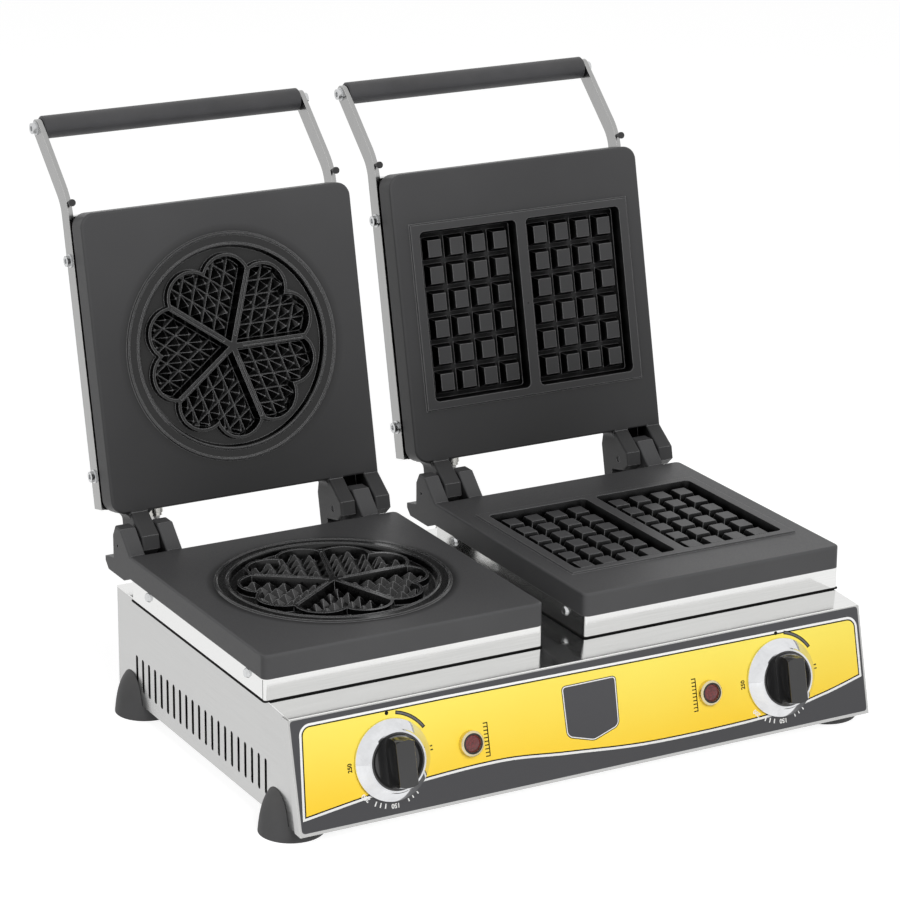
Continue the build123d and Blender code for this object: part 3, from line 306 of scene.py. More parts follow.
def calculated(tree, operation, first, second):
    "Output of a reckoning with two values."
    return wired(tree, "ShaderNodeMath", {0: first, 1: second}, operation=operation).outputs[0]


def own_place(tree):
    "Output of the place in the object's own space."
    return wired(tree, "ShaderNodeTexCoord").outputs["Object"]


def new_group(name, inputs, outputs):
    "Empty shader group with its sockets."
    tree = bpy.data.node_groups.new(name, "ShaderNodeTree")
    for label, kind, value in inputs:
        socket = tree.interface.new_socket(name=label, in_out="INPUT", socket_type=kind)
        socket.default_value = value
    for label, kind in outputs:
        tree.interface.new_socket(name=label, in_out="OUTPUT", socket_type=kind)
    return tree, tree.nodes.new("NodeGroupInput").outputs, tree.nodes.new("NodeGroupOutput").inputs


def grain_group():
    "Fine and broad grain in the object's own space, stretched along one axis or even."
    tree, given, put = new_group(
        "Grain",
        (
            ("Stretch", "NodeSocketVector", (1.0, 1.0, 1.0)),
            ("Scale", "NodeSocketFloat", 800.0),
            ("Broad Scale", "NodeSocketFloat", 9.0),
        ),
        (("Fine", "NodeSocketFloat"), ("Broad", "NodeSocketFloat")),
    )
    place = own_place(tree)
    stretched = wired(tree, "ShaderNodeVectorMath", {0: place, 1: given["Stretch"]}, operation="MULTIPLY")
    fine = wired(
        tree,
        "ShaderNodeTexNoise",
        {"Vector": stretched.outputs[0], "Scale": given["Scale"], "Detail": 4.0, "Roughness": 0.6},
    )
    broad = wired(
        tree,
        "ShaderNodeTexNoise",
        {"Vector": place, "Scale": given["Broad Scale"], "Detail": 3.0, "Roughness": 0.55},
    )
    tree.links.new(fine.outputs[0], put["Fine"])
    tree.links.new(broad.outputs[0], put["Broad"])
    return tree


def edges_group():
    """Softly rounded normals, and a mask of the convex and concave edges that they round, which the
    finishes use for painted highlights.
    """
    tree, given, put = new_group(
        "Rounded Edges",
        (("Radius", "NodeSocketFloat", 0.0006), ("Gain", "NodeSocketFloat", 4.0)),
        (("Normal", "NodeSocketVector"), ("Edge", "NodeSocketFloat")),
    )
    soft = wired(tree, "ShaderNodeBevel", {"Radius": given["Radius"]}, samples=4).outputs[0]
    flat = wired(tree, "ShaderNodeNewGeometry").outputs["Normal"]
    match = wired(tree, "ShaderNodeVectorMath", {0: soft, 1: flat}, operation="DOT_PRODUCT")
    lost = calculated(tree, "SUBTRACT", 1.0, match.outputs["Value"])
    edge = wired(tree, "ShaderNodeMath", {0: lost, 1: given["Gain"]}, operation="MULTIPLY", use_clamp=True)
    tree.links.new(soft, put["Normal"])
    tree.links.new(edge.outputs[0], put["Edge"])
    return tree


def handling_group():
    "Soft smudges and dust that settles on what faces up."
    tree, given, put = new_group(
        "Handling",
        (("Scale", "NodeSocketFloat", 14.0), ("Sharpness", "NodeSocketFloat", 3.0)),
        (("Smudge", "NodeSocketFloat"), ("Dust", "NodeSocketFloat")),
    )
    place = own_place(tree)
    clouds = wired(
        tree,
        "ShaderNodeTexNoise",
        {"Vector": place, "Scale": given["Scale"], "Detail": 5.0, "Roughness": 0.65, "Distortion": 0.4},
    ).outputs[0]
    centred = calculated(tree, "SUBTRACT", clouds, 0.5)
    steep = calculated(tree, "MULTIPLY", centred, given["Sharpness"])
    smudge = wired(tree, "ShaderNodeMath", {0: steep, 1: 0.5}, operation="ADD", use_clamp=True).outputs[0]
    facing = wired(tree, "ShaderNodeNewGeometry").outputs["Normal"]
    upward = wired(tree, "ShaderNodeSeparateXYZ", {0: facing}).outputs["Z"]
    level = calculated(tree, "MAXIMUM", upward, 0.0)
    dust = calculated(tree, "MULTIPLY", level, smudge)
    tree.links.new(smudge, put["Smudge"])
    tree.links.new(dust, put["Dust"])
    return tree


def inward_group():
    """Mask of the faces turned into the cabinet: they get painted shade, and more roughness since no one
    polishes them.
    """
    tree, given, put = new_group(
        "Inward",
        (("Centre", "NodeSocketVector", (0.0, 0.0, 0.0)), ("Top", "NodeSocketFloat", 1.0)),
        (("Mask", "NodeSocketFloat"),),
    )
    place = own_place(tree)
    spoke = wired(tree, "ShaderNodeVectorMath", {0: place, 1: given["Centre"]}, operation="SUBTRACT")
    facing = wired(tree, "ShaderNodeNewGeometry").outputs["Normal"]
    outward = wired(tree, "ShaderNodeVectorMath", {0: spoke.outputs[0], 1: facing}, operation="DOT_PRODUCT")
    inward = calculated(tree, "LESS_THAN", outward.outputs["Value"], 0.0)
    height = wired(tree, "ShaderNodeSeparateXYZ", {0: place}).outputs["Z"]
    below = calculated(tree, "LESS_THAN", height, given["Top"])
    tree.links.new(calculated(tree, "MULTIPLY", inward, below), put["Mask"])
    return tree


def around_group():
    "Mask of what lies within reach of a centre, full up to a share of that reach."
    tree, given, put = new_group(
        "Around",
        (
            ("Centre", "NodeSocketVector", (0.0, 0.0, 0.0)),
            ("Reach", "NodeSocketFloat", 0.1),
            ("Full Share", "NodeSocketFloat", 0.9),
        ),
        (("Mask", "NodeSocketFloat"),),
    )
    place = own_place(tree)
    gap = wired(tree, "ShaderNodeVectorMath", {0: place, 1: given["Centre"]}, operation="DISTANCE")
    share = calculated(tree, "DIVIDE", gap.outputs["Value"], given["Reach"])
    tree.links.new(ranged(tree, share, 1.0, 0.0, given["Full Share"], 1.0), put["Mask"])
    return tree


def pits_group():
    "Mask of the pockets and corners that hardly see the open."
    tree, given, put = new_group(
        "Pits", (("Distance", "NodeSocketFloat", PIT_DISTANCE),), (("Mask", "NodeSocketFloat"),)
    )
    hollow = wired(
        tree, "ShaderNodeAmbientOcclusion", {"Distance": given["Distance"]}, samples=6, only_local=True
    )
    tree.links.new(ranged(tree, hollow.outputs["AO"], 1.0, 0.0, *OPEN_SKY), put["Mask"])
    return tree


GROUP_MAKERS = {
    "Grain": grain_group,
    "Around": around_group,
    "Pits": pits_group,
    "Rounded Edges": edges_group,
    "Handling": handling_group,
    "Inward": inward_group,
}


def group(tree, name, values=None):
    "Places a shared shader group, building it the first time, and returns its outputs."
    if name not in bpy.data.node_groups:
        GROUP_MAKERS[name]()
    node = tree.nodes.new("ShaderNodeGroup")
    node.node_tree = bpy.data.node_groups[name]
    for key, value in (values or {}).items():
        node.inputs[key].default_value = value
    return node.outputs


def new_material(name, **constants):
    "Material with one shader, its plain values set on its own sockets."
    material = bpy.data.materials.new(name)
    material.use_nodes = True
    shader = material.node_tree.nodes["Principled BSDF"]
    for key, value in constants.items():
        shader.inputs[key.replace("_", " ")].default_value = value
    return material, material.node_tree, shader


def blended(tree, share, low, high):
    "Colour between two colours, by the share."
    node = wired(tree, "ShaderNodeMix", {0: share}, data_type="RGBA")
    for socket, colour in ((node.inputs[6], low), (node.inputs[7], high)):
        if isinstance(colour, bpy.types.NodeSocket):
            tree.links.new(colour, socket)
        else:
            socket.default_value = colour
    return node.outputs[2]


def ranged(tree, value, low, high, start=0.0, end=1.0):
    "Value mapped from start and end to low and high, and held there."
    node = wired(
        tree,
        "ShaderNodeMapRange",
        {"Value": value, "From Min": start, "From Max": end, "To Min": low, "To Max": high},
    )
    return node.outputs[0]


def bumped(tree, shader, height, strength, depth, normal=None):
    "Feeds a bump of the given depth, in metres, to the shader's normal."
    node = wired(tree, "ShaderNodeBump", {"Height": height, "Strength": strength, "Distance": depth})
    if normal is not None:
        tree.links.new(normal, node.inputs["Normal"])
    tree.links.new(node.outputs[0], shader.inputs["Normal"])


def brushed_steel(name, stretch, settings, tone=1.0, polish=0.0):
    """Stainless sheet, brushed along the axis with the small stretch, and smoother by the polish; the tone
    makes a lighter or darker copy, which is painted light or shade.
    """
    steel = tuple(min(1.0, c * tone) for c in settings.steel)
    material, tree, shader = new_material(name, Metallic=1.0)
    grain = group(tree, "Grain", {"Stretch": stretch, "Scale": settings.brush_scale, "Broad Scale": 5.0})
    edges = group(tree, "Rounded Edges", {"Radius": 0.0005, "Gain": 3.0})
    hands = group(tree, "Handling", {"Scale": 11.0, "Sharpness": 2.2})
    dark = opaque(steel, settings.brush_contrast)
    lines = ranged(tree, grain["Fine"], 0.0, 1.0, *NOISE_SPAN)
    sheet = blended(tree, lines, dark, opaque(steel))
    # near-white edges of the sheet: painted highlight
    edge_highlit = blended(tree, edges["Edge"], sheet, linear(235, 235, 233))
    inward = group(tree, "Inward", {"Centre": CABINET_CENTRE, "Top": DECK_TOP})["Mask"]
    # faces turned into the cabinet get a dark colour: painted shade
    tree.links.new(blended(tree, inward, edge_highlit, linear(46, 45, 44)), shader.inputs["Base Color"])
    mean = settings.steel_rough - polish
    rough = ranged(tree, grain["Fine"], *(mean + step for step in BRUSH_SPREAD), *NOISE_SPAN)
    smudged = calculated(tree, "ADD", rough, ranged(tree, hands["Smudge"], *SMUDGE_SPREAD))
    dulled = calculated(tree, "ADD", smudged, calculated(tree, "MULTIPLY", inward, UNPOLISHED))
    tree.links.new(dulled, shader.inputs["Roughness"])
    bumped(tree, shader, grain["Fine"], strength=0.05, depth=0.00005, normal=edges["Normal"])
    return material


def cast_iron(name, settings, centre, reach, heel, heel_shade_share):
    """Seasoned cast plate: satin, painted highlights and wear on the edges, painted shade in the pockets,
    glossier mould, and painted shade towards its heel.
    """
    material, tree, shader = new_material(name, Specular_IOR_Level=settings.iron_shine, Coat_Roughness=0.13)
    grain = group(tree, "Grain", {"Scale": settings.pore_scale, "Broad Scale": 7.0})
    edges = group(tree, "Rounded Edges", {"Radius": 0.0009, "Gain": 10.0})
    hands = group(tree, "Handling", {"Scale": 9.0, "Sharpness": 2.0})
    mould = group(tree, "Around", {"Centre": centre, "Reach": reach})["Mask"]
    pits = group(tree, "Pits")["Mask"]
    # the mask round the hinge paints shade: the iron is darker towards its heel
    oil = group(tree, "Around", {"Centre": heel, "Reach": HEEL_SHADE_REACH, "Full Share": HEEL_SHADE_CORE})["Mask"]
    base, pale = opaque(settings.iron), opaque(settings.iron, PATCHES)
    seasoning_and_shade = opaque(settings.seasoning_and_shade)
    mottled = blended(tree, ranged(tree, grain["Broad"], 0.0, 1.0, *NOISE_CORE), base, pale)
    heel_shaded = blended(tree, ranged(tree, oil, 0.0, heel_shade_share), mottled, seasoning_and_shade)
    seasoned = blended(tree, ranged(tree, mould, 0.0, MOULD_SOOT), heel_shaded, seasoning_and_shade)
    # painted shade: near black where the pockets hardly see the open
    pit_shaded = blended(tree, pits, seasoned, linear(3, 3, 3))
    # painted highlight along the edges, with some wear
    edge_highlight_share = ranged(tree, edges["Edge"], 0.0, EDGE_HIGHLIGHT_SHARE)
    highlit_and_worn = blended(tree, edge_highlight_share, pit_shaded, opaque(settings.highlit_and_worn))
    dusty = blended(tree, ranged(tree, hands["Dust"], 0.0, IRON_DUST), highlit_and_worn, linear(128, 126, 122))
    tree.links.new(dusty, shader.inputs["Base Color"])
    # metallic over the near-black pockets takes their reflections out, painted shade; the mould gets its
    # darker finish
    dead = calculated(tree, "MAXIMUM", ranged(tree, mould, 0.0, MOULD_DARKNESS), pits)
    tree.links.new(ranged(tree, dead, 0.0, PIT_DARKNESS), shader.inputs["Metallic"])
    rough = ranged(tree, grain["Fine"], *(settings.iron_rough + step for step in PORE_SPREAD), *NOISE_SPAN)
    mixed = calculated(tree, "ADD", rough, ranged(tree, mould, 0.0, MOULD_POLISH))
    tree.links.new(mixed, shader.inputs["Roughness"])
    tree.links.new(ranged(tree, mould, 0.0, settings.mould_gloss), shader.inputs["Coat Weight"])
    bumped(tree, shader, grain["Fine"], strength=0.3, depth=0.0001, normal=edges["Normal"])
    return material


def moulded(name, colour, rough, scale=900.0, depth=0.00006, dusty=0.05, **constants):
    "Moulded rubber, plastic or ceramic with a fine skin."
    material, tree, shader = new_material(name, **constants)
    grain = group(tree, "Grain", {"Scale": scale, "Broad Scale": 22.0})
    edges = group(tree, "Rounded Edges", {"Radius": 0.0004, "Gain": 2.5})
    hands = group(tree, "Handling", {"Scale": 30.0, "Sharpness": 2.5})
    pale = tuple(min(1.0, c * PALER + PALEST) for c in colour[:3]) + (1.0,)
    skin = blended(tree, ranged(tree, grain["Broad"], 0.0, SKIN_PATCHES, *NOISE_CORE), colour, pale)
    # paler edges: painted highlight and wear
    highlit_and_worn = blended(tree, ranged(tree, edges["Edge"], 0.0, SKIN_HIGHLIGHT_AND_WEAR), skin, pale)
    dust = blended(tree, ranged(tree, hands["Dust"], 0.0, dusty), highlit_and_worn, linear(150, 146, 140))
    tree.links.new(dust, shader.inputs["Base Color"])
    handled = ranged(tree, hands["Smudge"], *(rough + step for step in SKIN_SPREAD))
    tree.links.new(handled, shader.inputs["Roughness"])
    bumped(tree, shader, grain["Fine"], strength=0.35, depth=depth, normal=edges["Normal"])
    return material


def plated(name, colour, rough, scale=500.0, depth=0.00002):
    "Bright or dull plating with fine scratches."
    material, tree, shader = new_material(name, Metallic=1.0)
    grain = group(tree, "Grain", {"Scale": scale, "Stretch": (1.0, 0.12, 0.4), "Broad Scale": 40.0})
    edges = group(tree, "Rounded Edges", {"Radius": 0.0003, "Gain": 2.0})
    hands = group(tree, "Handling", {"Scale": 55.0, "Sharpness": 3.0})
    dull = opaque(colour, WORN_PLATING)
    skin = blended(tree, hands["Smudge"], colour, dull)
    tree.links.new(skin, shader.inputs["Base Color"])
    handled = ranged(tree, hands["Smudge"], rough * CLEAN, rough * HANDLED + LEAST_ROUGH)
    tree.links.new(handled, shader.inputs["Roughness"])
    bumped(tree, shader, grain["Fine"], strength=0.15, depth=depth, normal=edges["Normal"])
    return material


HEAT_TINTS = ((0.3, linear(120, 112, 104)), (0.45, linear(132, 110, 84)), (0.6, linear(86, 88, 104)))


def heated_tube():
    "Heating tube, tinted straw to blue-grey by its heat."
    material, tree, shader = new_material("Tinted Tube", Metallic=0.9)
    grain = group(tree, "Grain", {"Scale": 700.0, "Broad Scale": 18.0})
    ramp = wired(tree, "ShaderNodeValToRGB", {"Fac": grain["Broad"]})
    bands = ramp.color_ramp.elements
    bands.new(HEAT_TINTS[1][0])
    for band, (position, tint) in zip(bands, HEAT_TINTS):
        band.position = position
        band.color = tint
    tree.links.new(ramp.outputs[0], shader.inputs["Base Color"])
    tree.links.new(ranged(tree, grain["Fine"], *TUBE_ROUGH), shader.inputs["Roughness"])
    bumped(tree, shader, grain["Fine"], strength=0.3, depth=0.00005)
    return material


def printed(name, low, high, rough=0.32, gloss=0.15, shine=0.5):
    "Ink under clear film, its colour drifting from the fascia's foot to its top."
    coat = {"Coat_Roughness": 0.12, "Coat_Weight": gloss}
    material, tree, shader = new_material(name, Specular_IOR_Level=shine, **coat)
    place = own_place(tree)
    height = wired(tree, "ShaderNodeSeparateXYZ", {0: place}).outputs["Z"]
    fade = ranged(tree, height, 0.0, 1.0, *(on_fascia(0, rise, 0).z for rise in FADE_RISE))
    grain = group(tree, "Grain", {"Scale": 1500.0, "Broad Scale": 6.0})
    drift = ranged(tree, grain["Broad"], -FADE_DRIFT, FADE_DRIFT, *NOISE_SPAN)
    uneven = wired(tree, "ShaderNodeMath", {0: fade, 1: drift}, operation="ADD", use_clamp=True)
    tree.links.new(blended(tree, uneven.outputs[0], low, high), shader.inputs["Base Color"])
    sheen = ranged(tree, grain["Broad"], *(rough + step for step in FILM_SPREAD))
    tree.links.new(sheen, shader.inputs["Roughness"])
    bumped(tree, shader, grain["Fine"], strength=0.2, depth=0.00003)
    return material


def red_lens():
    "Dark red lamp lens with a fine moulded prism pattern behind its gloss."
    material, tree, shader = new_material("Red Lens", Coat_Weight=0.5, Coat_Roughness=0.03, IOR=1.5)
    place = own_place(tree)
    cells = wired(tree, "ShaderNodeTexVoronoi", {"Vector": place, "Scale": 620.0})
    tint = blended(tree, cells.outputs["Distance"], linear(126, 34, 36), linear(60, 12, 13))
    tree.links.new(tint, shader.inputs["Base Color"])
    tree.links.new(ranged(tree, cells.outputs["Distance"], *LENS_ROUGH), shader.inputs["Roughness"])
    bumped(tree, shader, cells.outputs["Distance"], strength=0.35, depth=0.0004)
    return material


# Settings that a user would change


def colour_setting(name, description, default):
    "Property that holds a colour."
    return FloatVectorProperty(name=name, description=description, subtype="COLOR", default=default[:3])


def share_setting(name, description, default, low=0.0):
    "Property that holds a share of 1."
    return FloatProperty(
        name=name, description=description, subtype="FACTOR", min=low, max=1.0, default=default
    )


class WaffleCastings(bpy.types.PropertyGroup):
    iron: colour_setting("Iron", "Colour of the seasoned plates", linear(72, 72, 73))
    # dark seasoning of the mould, and the painted shade near the lids' hinge
    seasoning_and_shade: colour_setting("Seasoning And Shade", "Colour deep in the pockets", linear(12, 12, 12))
    # painted highlight along the plates' edges, with some wear
    highlit_and_worn: colour_setting("Highlit And Worn", "Colour of the rubbed edges", linear(144, 144, 145))
    iron_shine: share_setting("Shine", "Mirror share of the plates", 0.24)
    mould_reach: FloatProperty(
        name="Mould Reach", description="Radius of the glossier mould, in mm", default=112.0
    )
    mould_gloss: share_setting("Mould Gloss", "Baked oil in the round mould", 0.55)
    iron_rough: share_setting("Roughness", "Satin of the plates", 0.38, 0.1)
    pore_scale: FloatProperty(name="Pores", description="Pores of the casting, per metre", default=850.0)


class WaffleSheet(bpy.types.PropertyGroup):
    steel: colour_setting("Steel", "Colour of the stainless sheet", (0.56, 0.56, 0.555))
    steel_rough: share_setting("Roughness", "Brushing of the sheet", 0.18, 0.05)
    brush_scale: FloatProperty(name="Brush Lines", description="Brush lines, per metre", default=900.0)
    brush_contrast: share_setting("Contrast", "Shade of the brush lines", 0.94)


class WafflePrint(bpy.types.PropertyGroup):
    field_low: colour_setting("Field, Foot", "Yellow at the lower edge", linear(254, 211, 44))
    field_high: colour_setting("Field, Top", "Yellow at the upper edge", linear(255, 235, 98))
    border: colour_setting("Border", "Dark border of the film", linear(54, 54, 57))
    white_line: FloatProperty(name="White Line", description="Width of the white line, in mm", default=2.1)
    hairline: FloatProperty(name="Hairline", description="Width of the black line, in mm", default=1.15)


class WaffleConduit(bpy.types.PropertyGroup):
    radius: FloatProperty(name="Radius", description="Radius over the ribs, in mm", default=4.2)
    valley: FloatProperty(name="Valley", description="Depth between the ribs, in mm", default=0.7)
    pitch: FloatProperty(name="Pitch", description="Distance between ribs, in mm", default=2.6)


class WaffleStudio(bpy.types.PropertyGroup):
    azimuth: FloatProperty(name="Azimuth", description="Camera's turn, in degrees", default=-29.02)
    elevation: FloatProperty(name="Elevation", description="Camera's height, in degrees", default=18.33)
    roll: FloatProperty(name="Roll", description="Camera's roll, in degrees", default=0.39)
    lens: FloatProperty(name="Lens", description="Focal length, in mm", default=138.82)
    place: FloatVectorProperty(
        name="Place", description="Camera's place", subtype="TRANSLATION", unit="LENGTH",
        default=(-1.4455, -2.5941, 1.2164),
    )
    ambient: FloatProperty(name="Ambient", description="Strength of the room's light", default=0.36)


SETTINGS = (
    ("waffle_castings", WaffleCastings),
    ("waffle_sheet", WaffleSheet),
    ("waffle_print", WafflePrint),
    ("waffle_conduit", WaffleConduit),
    ("waffle_studio", WaffleStudio),
)


# Finishes of the carried pieces


def dress(material, *names):
    "Gives carried pieces a finish, by whole name or by ending."
    for wanted in names:
        found = [key for key in NODES if key == wanted or key.endswith("_" + wanted)]
        if not found:
            raise RuntimeError("no carried piece is named " + wanted)
        for key in found:
            for place in NODES[key].material_slots:
                place.material = material


PLATE_HALVES = (("lower", 0.0, 0.12), ("upper", LID_OPEN, 0.75))  # opening angle and share of the painted shade near the hinge
ARM_TONE = 0.72  # darker copy of the steel for the arms, painted shade; times the steel's colour, as the next one is
# lighter copy of the steel for the deck and pedestals: painted light
PAINTED_LIGHT_TONE = 1.47
POLISH = 0.08


class WAFFLE_OT_castings(bpy.types.Operator):
    """Finish the four cast plates"""

    bl_idname = "waffle.castings"
    bl_label = "Cast Plates"

    def execute(self, context):
        settings = context.scene.waffle_castings
        for side in SIDES:
            hinge = Vector(JOINTS[side + "_lid_hinge"]["pos_m"])
            reach = settings.mould_reach * MM if side == "left" else MM
            for half, turn, heel_shade_share in PLATE_HALVES:
                spoke = Vector((0.0, -cos(radians(turn)), sin(radians(turn))))
                centre = hinge + spoke * MOULD_FROM_HINGE * MM
                iron = cast_iron(f"{side} {half} iron".title(), settings, centre, reach, hinge, heel_shade_share)
                dress(iron, f"{side}_{half}_plate")
        dress(heated_tube(), "lower_heater", "upper_heater")
        return {"FINISHED"}


class WAFFLE_OT_sheetwork(bpy.types.Operator):
    """Finish the stainless sheet pieces"""

    bl_idname = "waffle.sheetwork"
    bl_label = "Sheet Steel"

    def execute(self, context):
        settings = context.scene.waffle_sheet
        along_x = brushed_steel("Steel Brushed Across", (0.02, 1.0, 1.0), settings)
        along_y = brushed_steel("Steel Brushed Deep", (1.0, 0.02, 1.0), settings)
        # the arms get a darker copy of the steel: painted shade
        along_z = brushed_steel("Steel Brushed Upright", (1.0, 1.0, 0.02), settings, ARM_TONE)
        bright = (PAINTED_LIGHT_TONE, POLISH)
        polished_painted_light = brushed_steel("Steel Polished Painted Light Across", (0.02, 1.0, 1.0), settings, *bright)
        dress(along_x, "front_fascia", "back_panel", "lid_cover")
        dress(polished_painted_light, "top_deck", "pedestal")
        dress(along_y, "side_panel_left", "side_panel_right", "bottom_cover", "thermostat")
        dress(along_z, "handle_arm_left", "handle_arm_right")
        return {"FINISHED"}


def shade_pedestal_gaps(side, painted_shade):
    "Bead of sealant round a pedestal's foot, and the lines of its folded corners."
    low, high = (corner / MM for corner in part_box(side + "_pedestal"))
    middle = (low + high) / 2
    rings = []
    for grow in (2 * SHADE_STRIP_PROUD, -2 * SHADE_STRIP_UNDER):
        corners = rectangle(middle.x, middle.y, high.x - low.x + grow, high.y - low.y + grow)
        rings.append(rounded_outline(corners, (SHADE_STRIP_ROUNDING,) * 4))
    strip_top = low.z + SHADE_STRIP_HEIGHT
    mesh = plate_mesh(side + "_pedestal_shade_strip", rings, low.z + INK, strip_top, plainly)
    add_piece(side + "_pedestal_shade_strip", mesh, "cabinet", painted_shade)
    seams = []
    for face in (low.x, high.x):
        corner = rectangle(face, low.y + SEAM_BACK, 2 * INK, SEAM_WIDTH)
        seams.append(plate_mesh("seam", [corner], strip_top, high.z - SHADE_STRIP_HEIGHT, plainly))
    add_piece(side + "_pedestal_seams", joined_mesh("seams", seams), "cabinet", painted_shade)


class WAFFLE_OT_fittings(bpy.types.Operator):
    """Finish the feet, grips, glands, fasteners and the parts inside"""

    bl_idname = "waffle.fittings"
    bl_label = "Fittings"

    def execute(self, context):
        coarse = {"rough": 0.62, "scale": 600.0, "depth": 0.00012, "dusty": 0.16}
        rubber = moulded("Foot Rubber", linear(67, 67, 68), **coarse)
        dress(rubber, "foot_front_left", "foot_front_right", "foot_rear_left", "foot_rear_right")
        grip = moulded("Satin Grip", linear(54, 54, 56), rough=0.46, scale=1100.0, depth=0.00008, dusty=0.1)
        dress(grip, "handle_grip")
        dress(moulded("Black Stud", linear(34, 34, 35), rough=0.4), "arm_studs")
        dress(moulded("Gland Nylon", linear(52, 52, 54), rough=0.5), "mains_gland")
        # the black strips stand in for the shade in the gaps at the pedestals: painted shade
        painted_shade = moulded("Black Painted Shade", linear(9, 9, 9), rough=0.8, Specular_IOR_Level=0.1)
        for side in SIDES:
            shade_pedestal_gaps(side, painted_shade)
        ceramic = moulded("Fired Ceramic", linear(226, 222, 210), rough=0.55, scale=500.0, depth=0.0001)
        dress(ceramic, "terminal_block")
        bright = plated("Bright Zinc", linear(214, 215, 216), rough=0.2)
        dress(bright, "foot_screws", "pedestal_screws", "handle_bolts", "thermostat_shaft")
        # the dark pins stand in for the shaded holes of the hinge lugs: painted shade
        dress(plated("Pin Painted Shade", linear(62, 62, 63), rough=0.35), "hinge_pins")
        dress(plated("Nickel", linear(206, 205, 200), rough=0.24), "lid_gland", "base_gland")
        return {"FINISHED"}


class WAFFLE_OT_controls(bpy.types.Operator):
    """Finish the knobs, their skirts and the lamps"""

    bl_idname = "waffle.controls"
    bl_label = "Knobs and Lamps"

    def execute(self, context):
        chrome = plated("Bright Chrome", linear(232, 233, 235), rough=0.05, scale=300.0, depth=0.000006)
        dress(chrome, "knob_skirt")
        fine = {"scale": 700.0, "depth": 0.00001, "dusty": 0.03}
        coat = {"Coat_Weight": 0.6, "Coat_Roughness": 0.06}
        dress(moulded("Gloss Phenolic", linear(22, 22, 23), rough=0.16, **fine, **coat), "knob_grip")
        dress(plated("Cream Plating", linear(226, 214, 176), rough=0.22), "lamp_bezel")
        dress(red_lens(), "lamp_lens")
        gasket = moulded("Lamp Gasket", linear(20, 18, 18), rough=0.35)
        for side, sign in zip(SIDES, (-1, 1)):
            centre = (sign * LAMP_X, DIAL_HEIGHT)
            rings = [arc_points(centre, radius, *GASKET_ARC) for radius in GASKET_RADII]
            mesh = plate_mesh(side + "_lamp_gasket", rings, *GASKET_RISE, on_fascia)
            add_piece(side + "_lamp_gasket", mesh, "cabinet", gasket)
        return {"FINISHED"}


# Printed fascia


FIELD_FOOT = (
    (277.5, 37.0),
    (235.0, 27.4),
    (174.0, 18.8),
    (60.0, 18.0),
    (-25.0, 24.5),
    (-95.0, 30.6),
    (-190.0, 26.8),
    (-277.8, 16.8),
)
FIELD_TOP = ((-272.4, 90.2), (-141.0, 90.2), (55.0, 88.5), (277.5, 86.9))
FIELD_ROUNDING = 7.0
FIELD_STEPS = 10
BADGE = ((-25.3, 79.2), (-24.6, 37.0), (0.4, 30.0), (25.4, 38.0), (26.3, 79.5))
BADGE_ROUNDING = (2.5, 6.0, 8.0, 6.0, 2.5)
BADGE_RIM = 1.6
BADGE_LINE = 0.9
LIGHTER = 1.25  # the dark ink at its top, times its colour


def field_outline():
    "Outline of the yellow field: a swept foot and two rounded upper corners, anticlockwise."
    foot = smooth_line(FIELD_FOOT, FIELD_STEPS)
    left, right = FIELD_TOP[0], FIELD_TOP[-1]
    upper_left = rounded_corner(foot[-1], left, FIELD_TOP[1], FIELD_ROUNDING)
    upper_right = rounded_corner(FIELD_TOP[-2], right, foot[0], FIELD_ROUNDING)
    outline = foot + upper_left + list(FIELD_TOP[1:-1]) + upper_right
    return list(reversed(outline))


def film_layer(name, outline, layer, material):
    "One layer of print on the film."
    mesh = plate_mesh(name, [outline], FILM_FACE, FILM_FACE + INK * layer, on_fascia)
    add_piece(name, mesh, "cabinet", material)


class WAFFLE_OT_print(bpy.types.Operator):
    """Print the film: border, lines, yellow field and a plain badge"""

    bl_idname = "waffle.print"
    bl_label = "Fascia Print"

    def execute(self, context):
        settings = context.scene.waffle_print
        dark = printed("Dark Ink", opaque(settings.border), opaque(settings.border, LIGHTER))
        white = printed("White Ink", linear(236, 236, 234), linear(246, 246, 245))
        flat = {"rough": 0.4, "gloss": 0.0, "shine": 0.12}
        black = printed("Black Ink", linear(10, 10, 10), linear(16, 16, 16), **flat)
        yellow = printed("Yellow Ink", opaque(settings.field_low), opaque(settings.field_high))
        dress(dark, "fascia_overlay")
        field = field_outline()
        film_layer("print_white_line", grown(field, settings.hairline + settings.white_line), 1, white)
        film_layer("print_hairline", grown(field, settings.hairline), 2, black)
        film_layer("print_field", field, 3, yellow)
        badge = rounded_outline(BADGE, BADGE_ROUNDING)
        film_layer("badge_rim", grown(badge, BADGE_RIM), 4, black)
        film_layer("badge_line", grown(badge, BADGE_LINE), 5, white)
        film_layer("badge_face", badge, 6, dark)
        return {"FINISHED"}


# Marks round the knobs and lamps


MARK_LAYER = 5  # the marks' place in the layers of print
DIAL_NUMBERS = ((181, "150"), (225, "200"), (270, "250"))
DIAL_TICKS = ((147, 2.4), (155, 2.4), (162, 2.8), (195, 4.2), (202, 4.2), (209, 4.2))
DARK_TICKS = ((83, 2.4), (88, 2.4))
LAST_PALE = 240  # angle past which the figures stand on the yellow
MARK_RADIUS = 37.0
TICK_HALF = 0.8  # degrees
DOT_CENTRE = 39.6
DOT_RADIUS = 1.7
DOT_ARC = (0, 345, 22)
CRESCENT = (38.0, 41.2, 12, 57)  # radii and angles of the dark band
CRESCENT_CORE = (38.8, 40.4, 13.2, 55.8)
FIGURE_RADIUS = 37.4
FIGURE_SIZE = 5.4
FIGURE_WEIGHT = 0.03
SCALE_LINES = {"left": -101.7, "right": 106.9}
SCALE_TEETH = 10
SCALE_HEIGHT = 28.6
SCALE_TOOTH = 4.0
SCALE_STROKE = 0.95


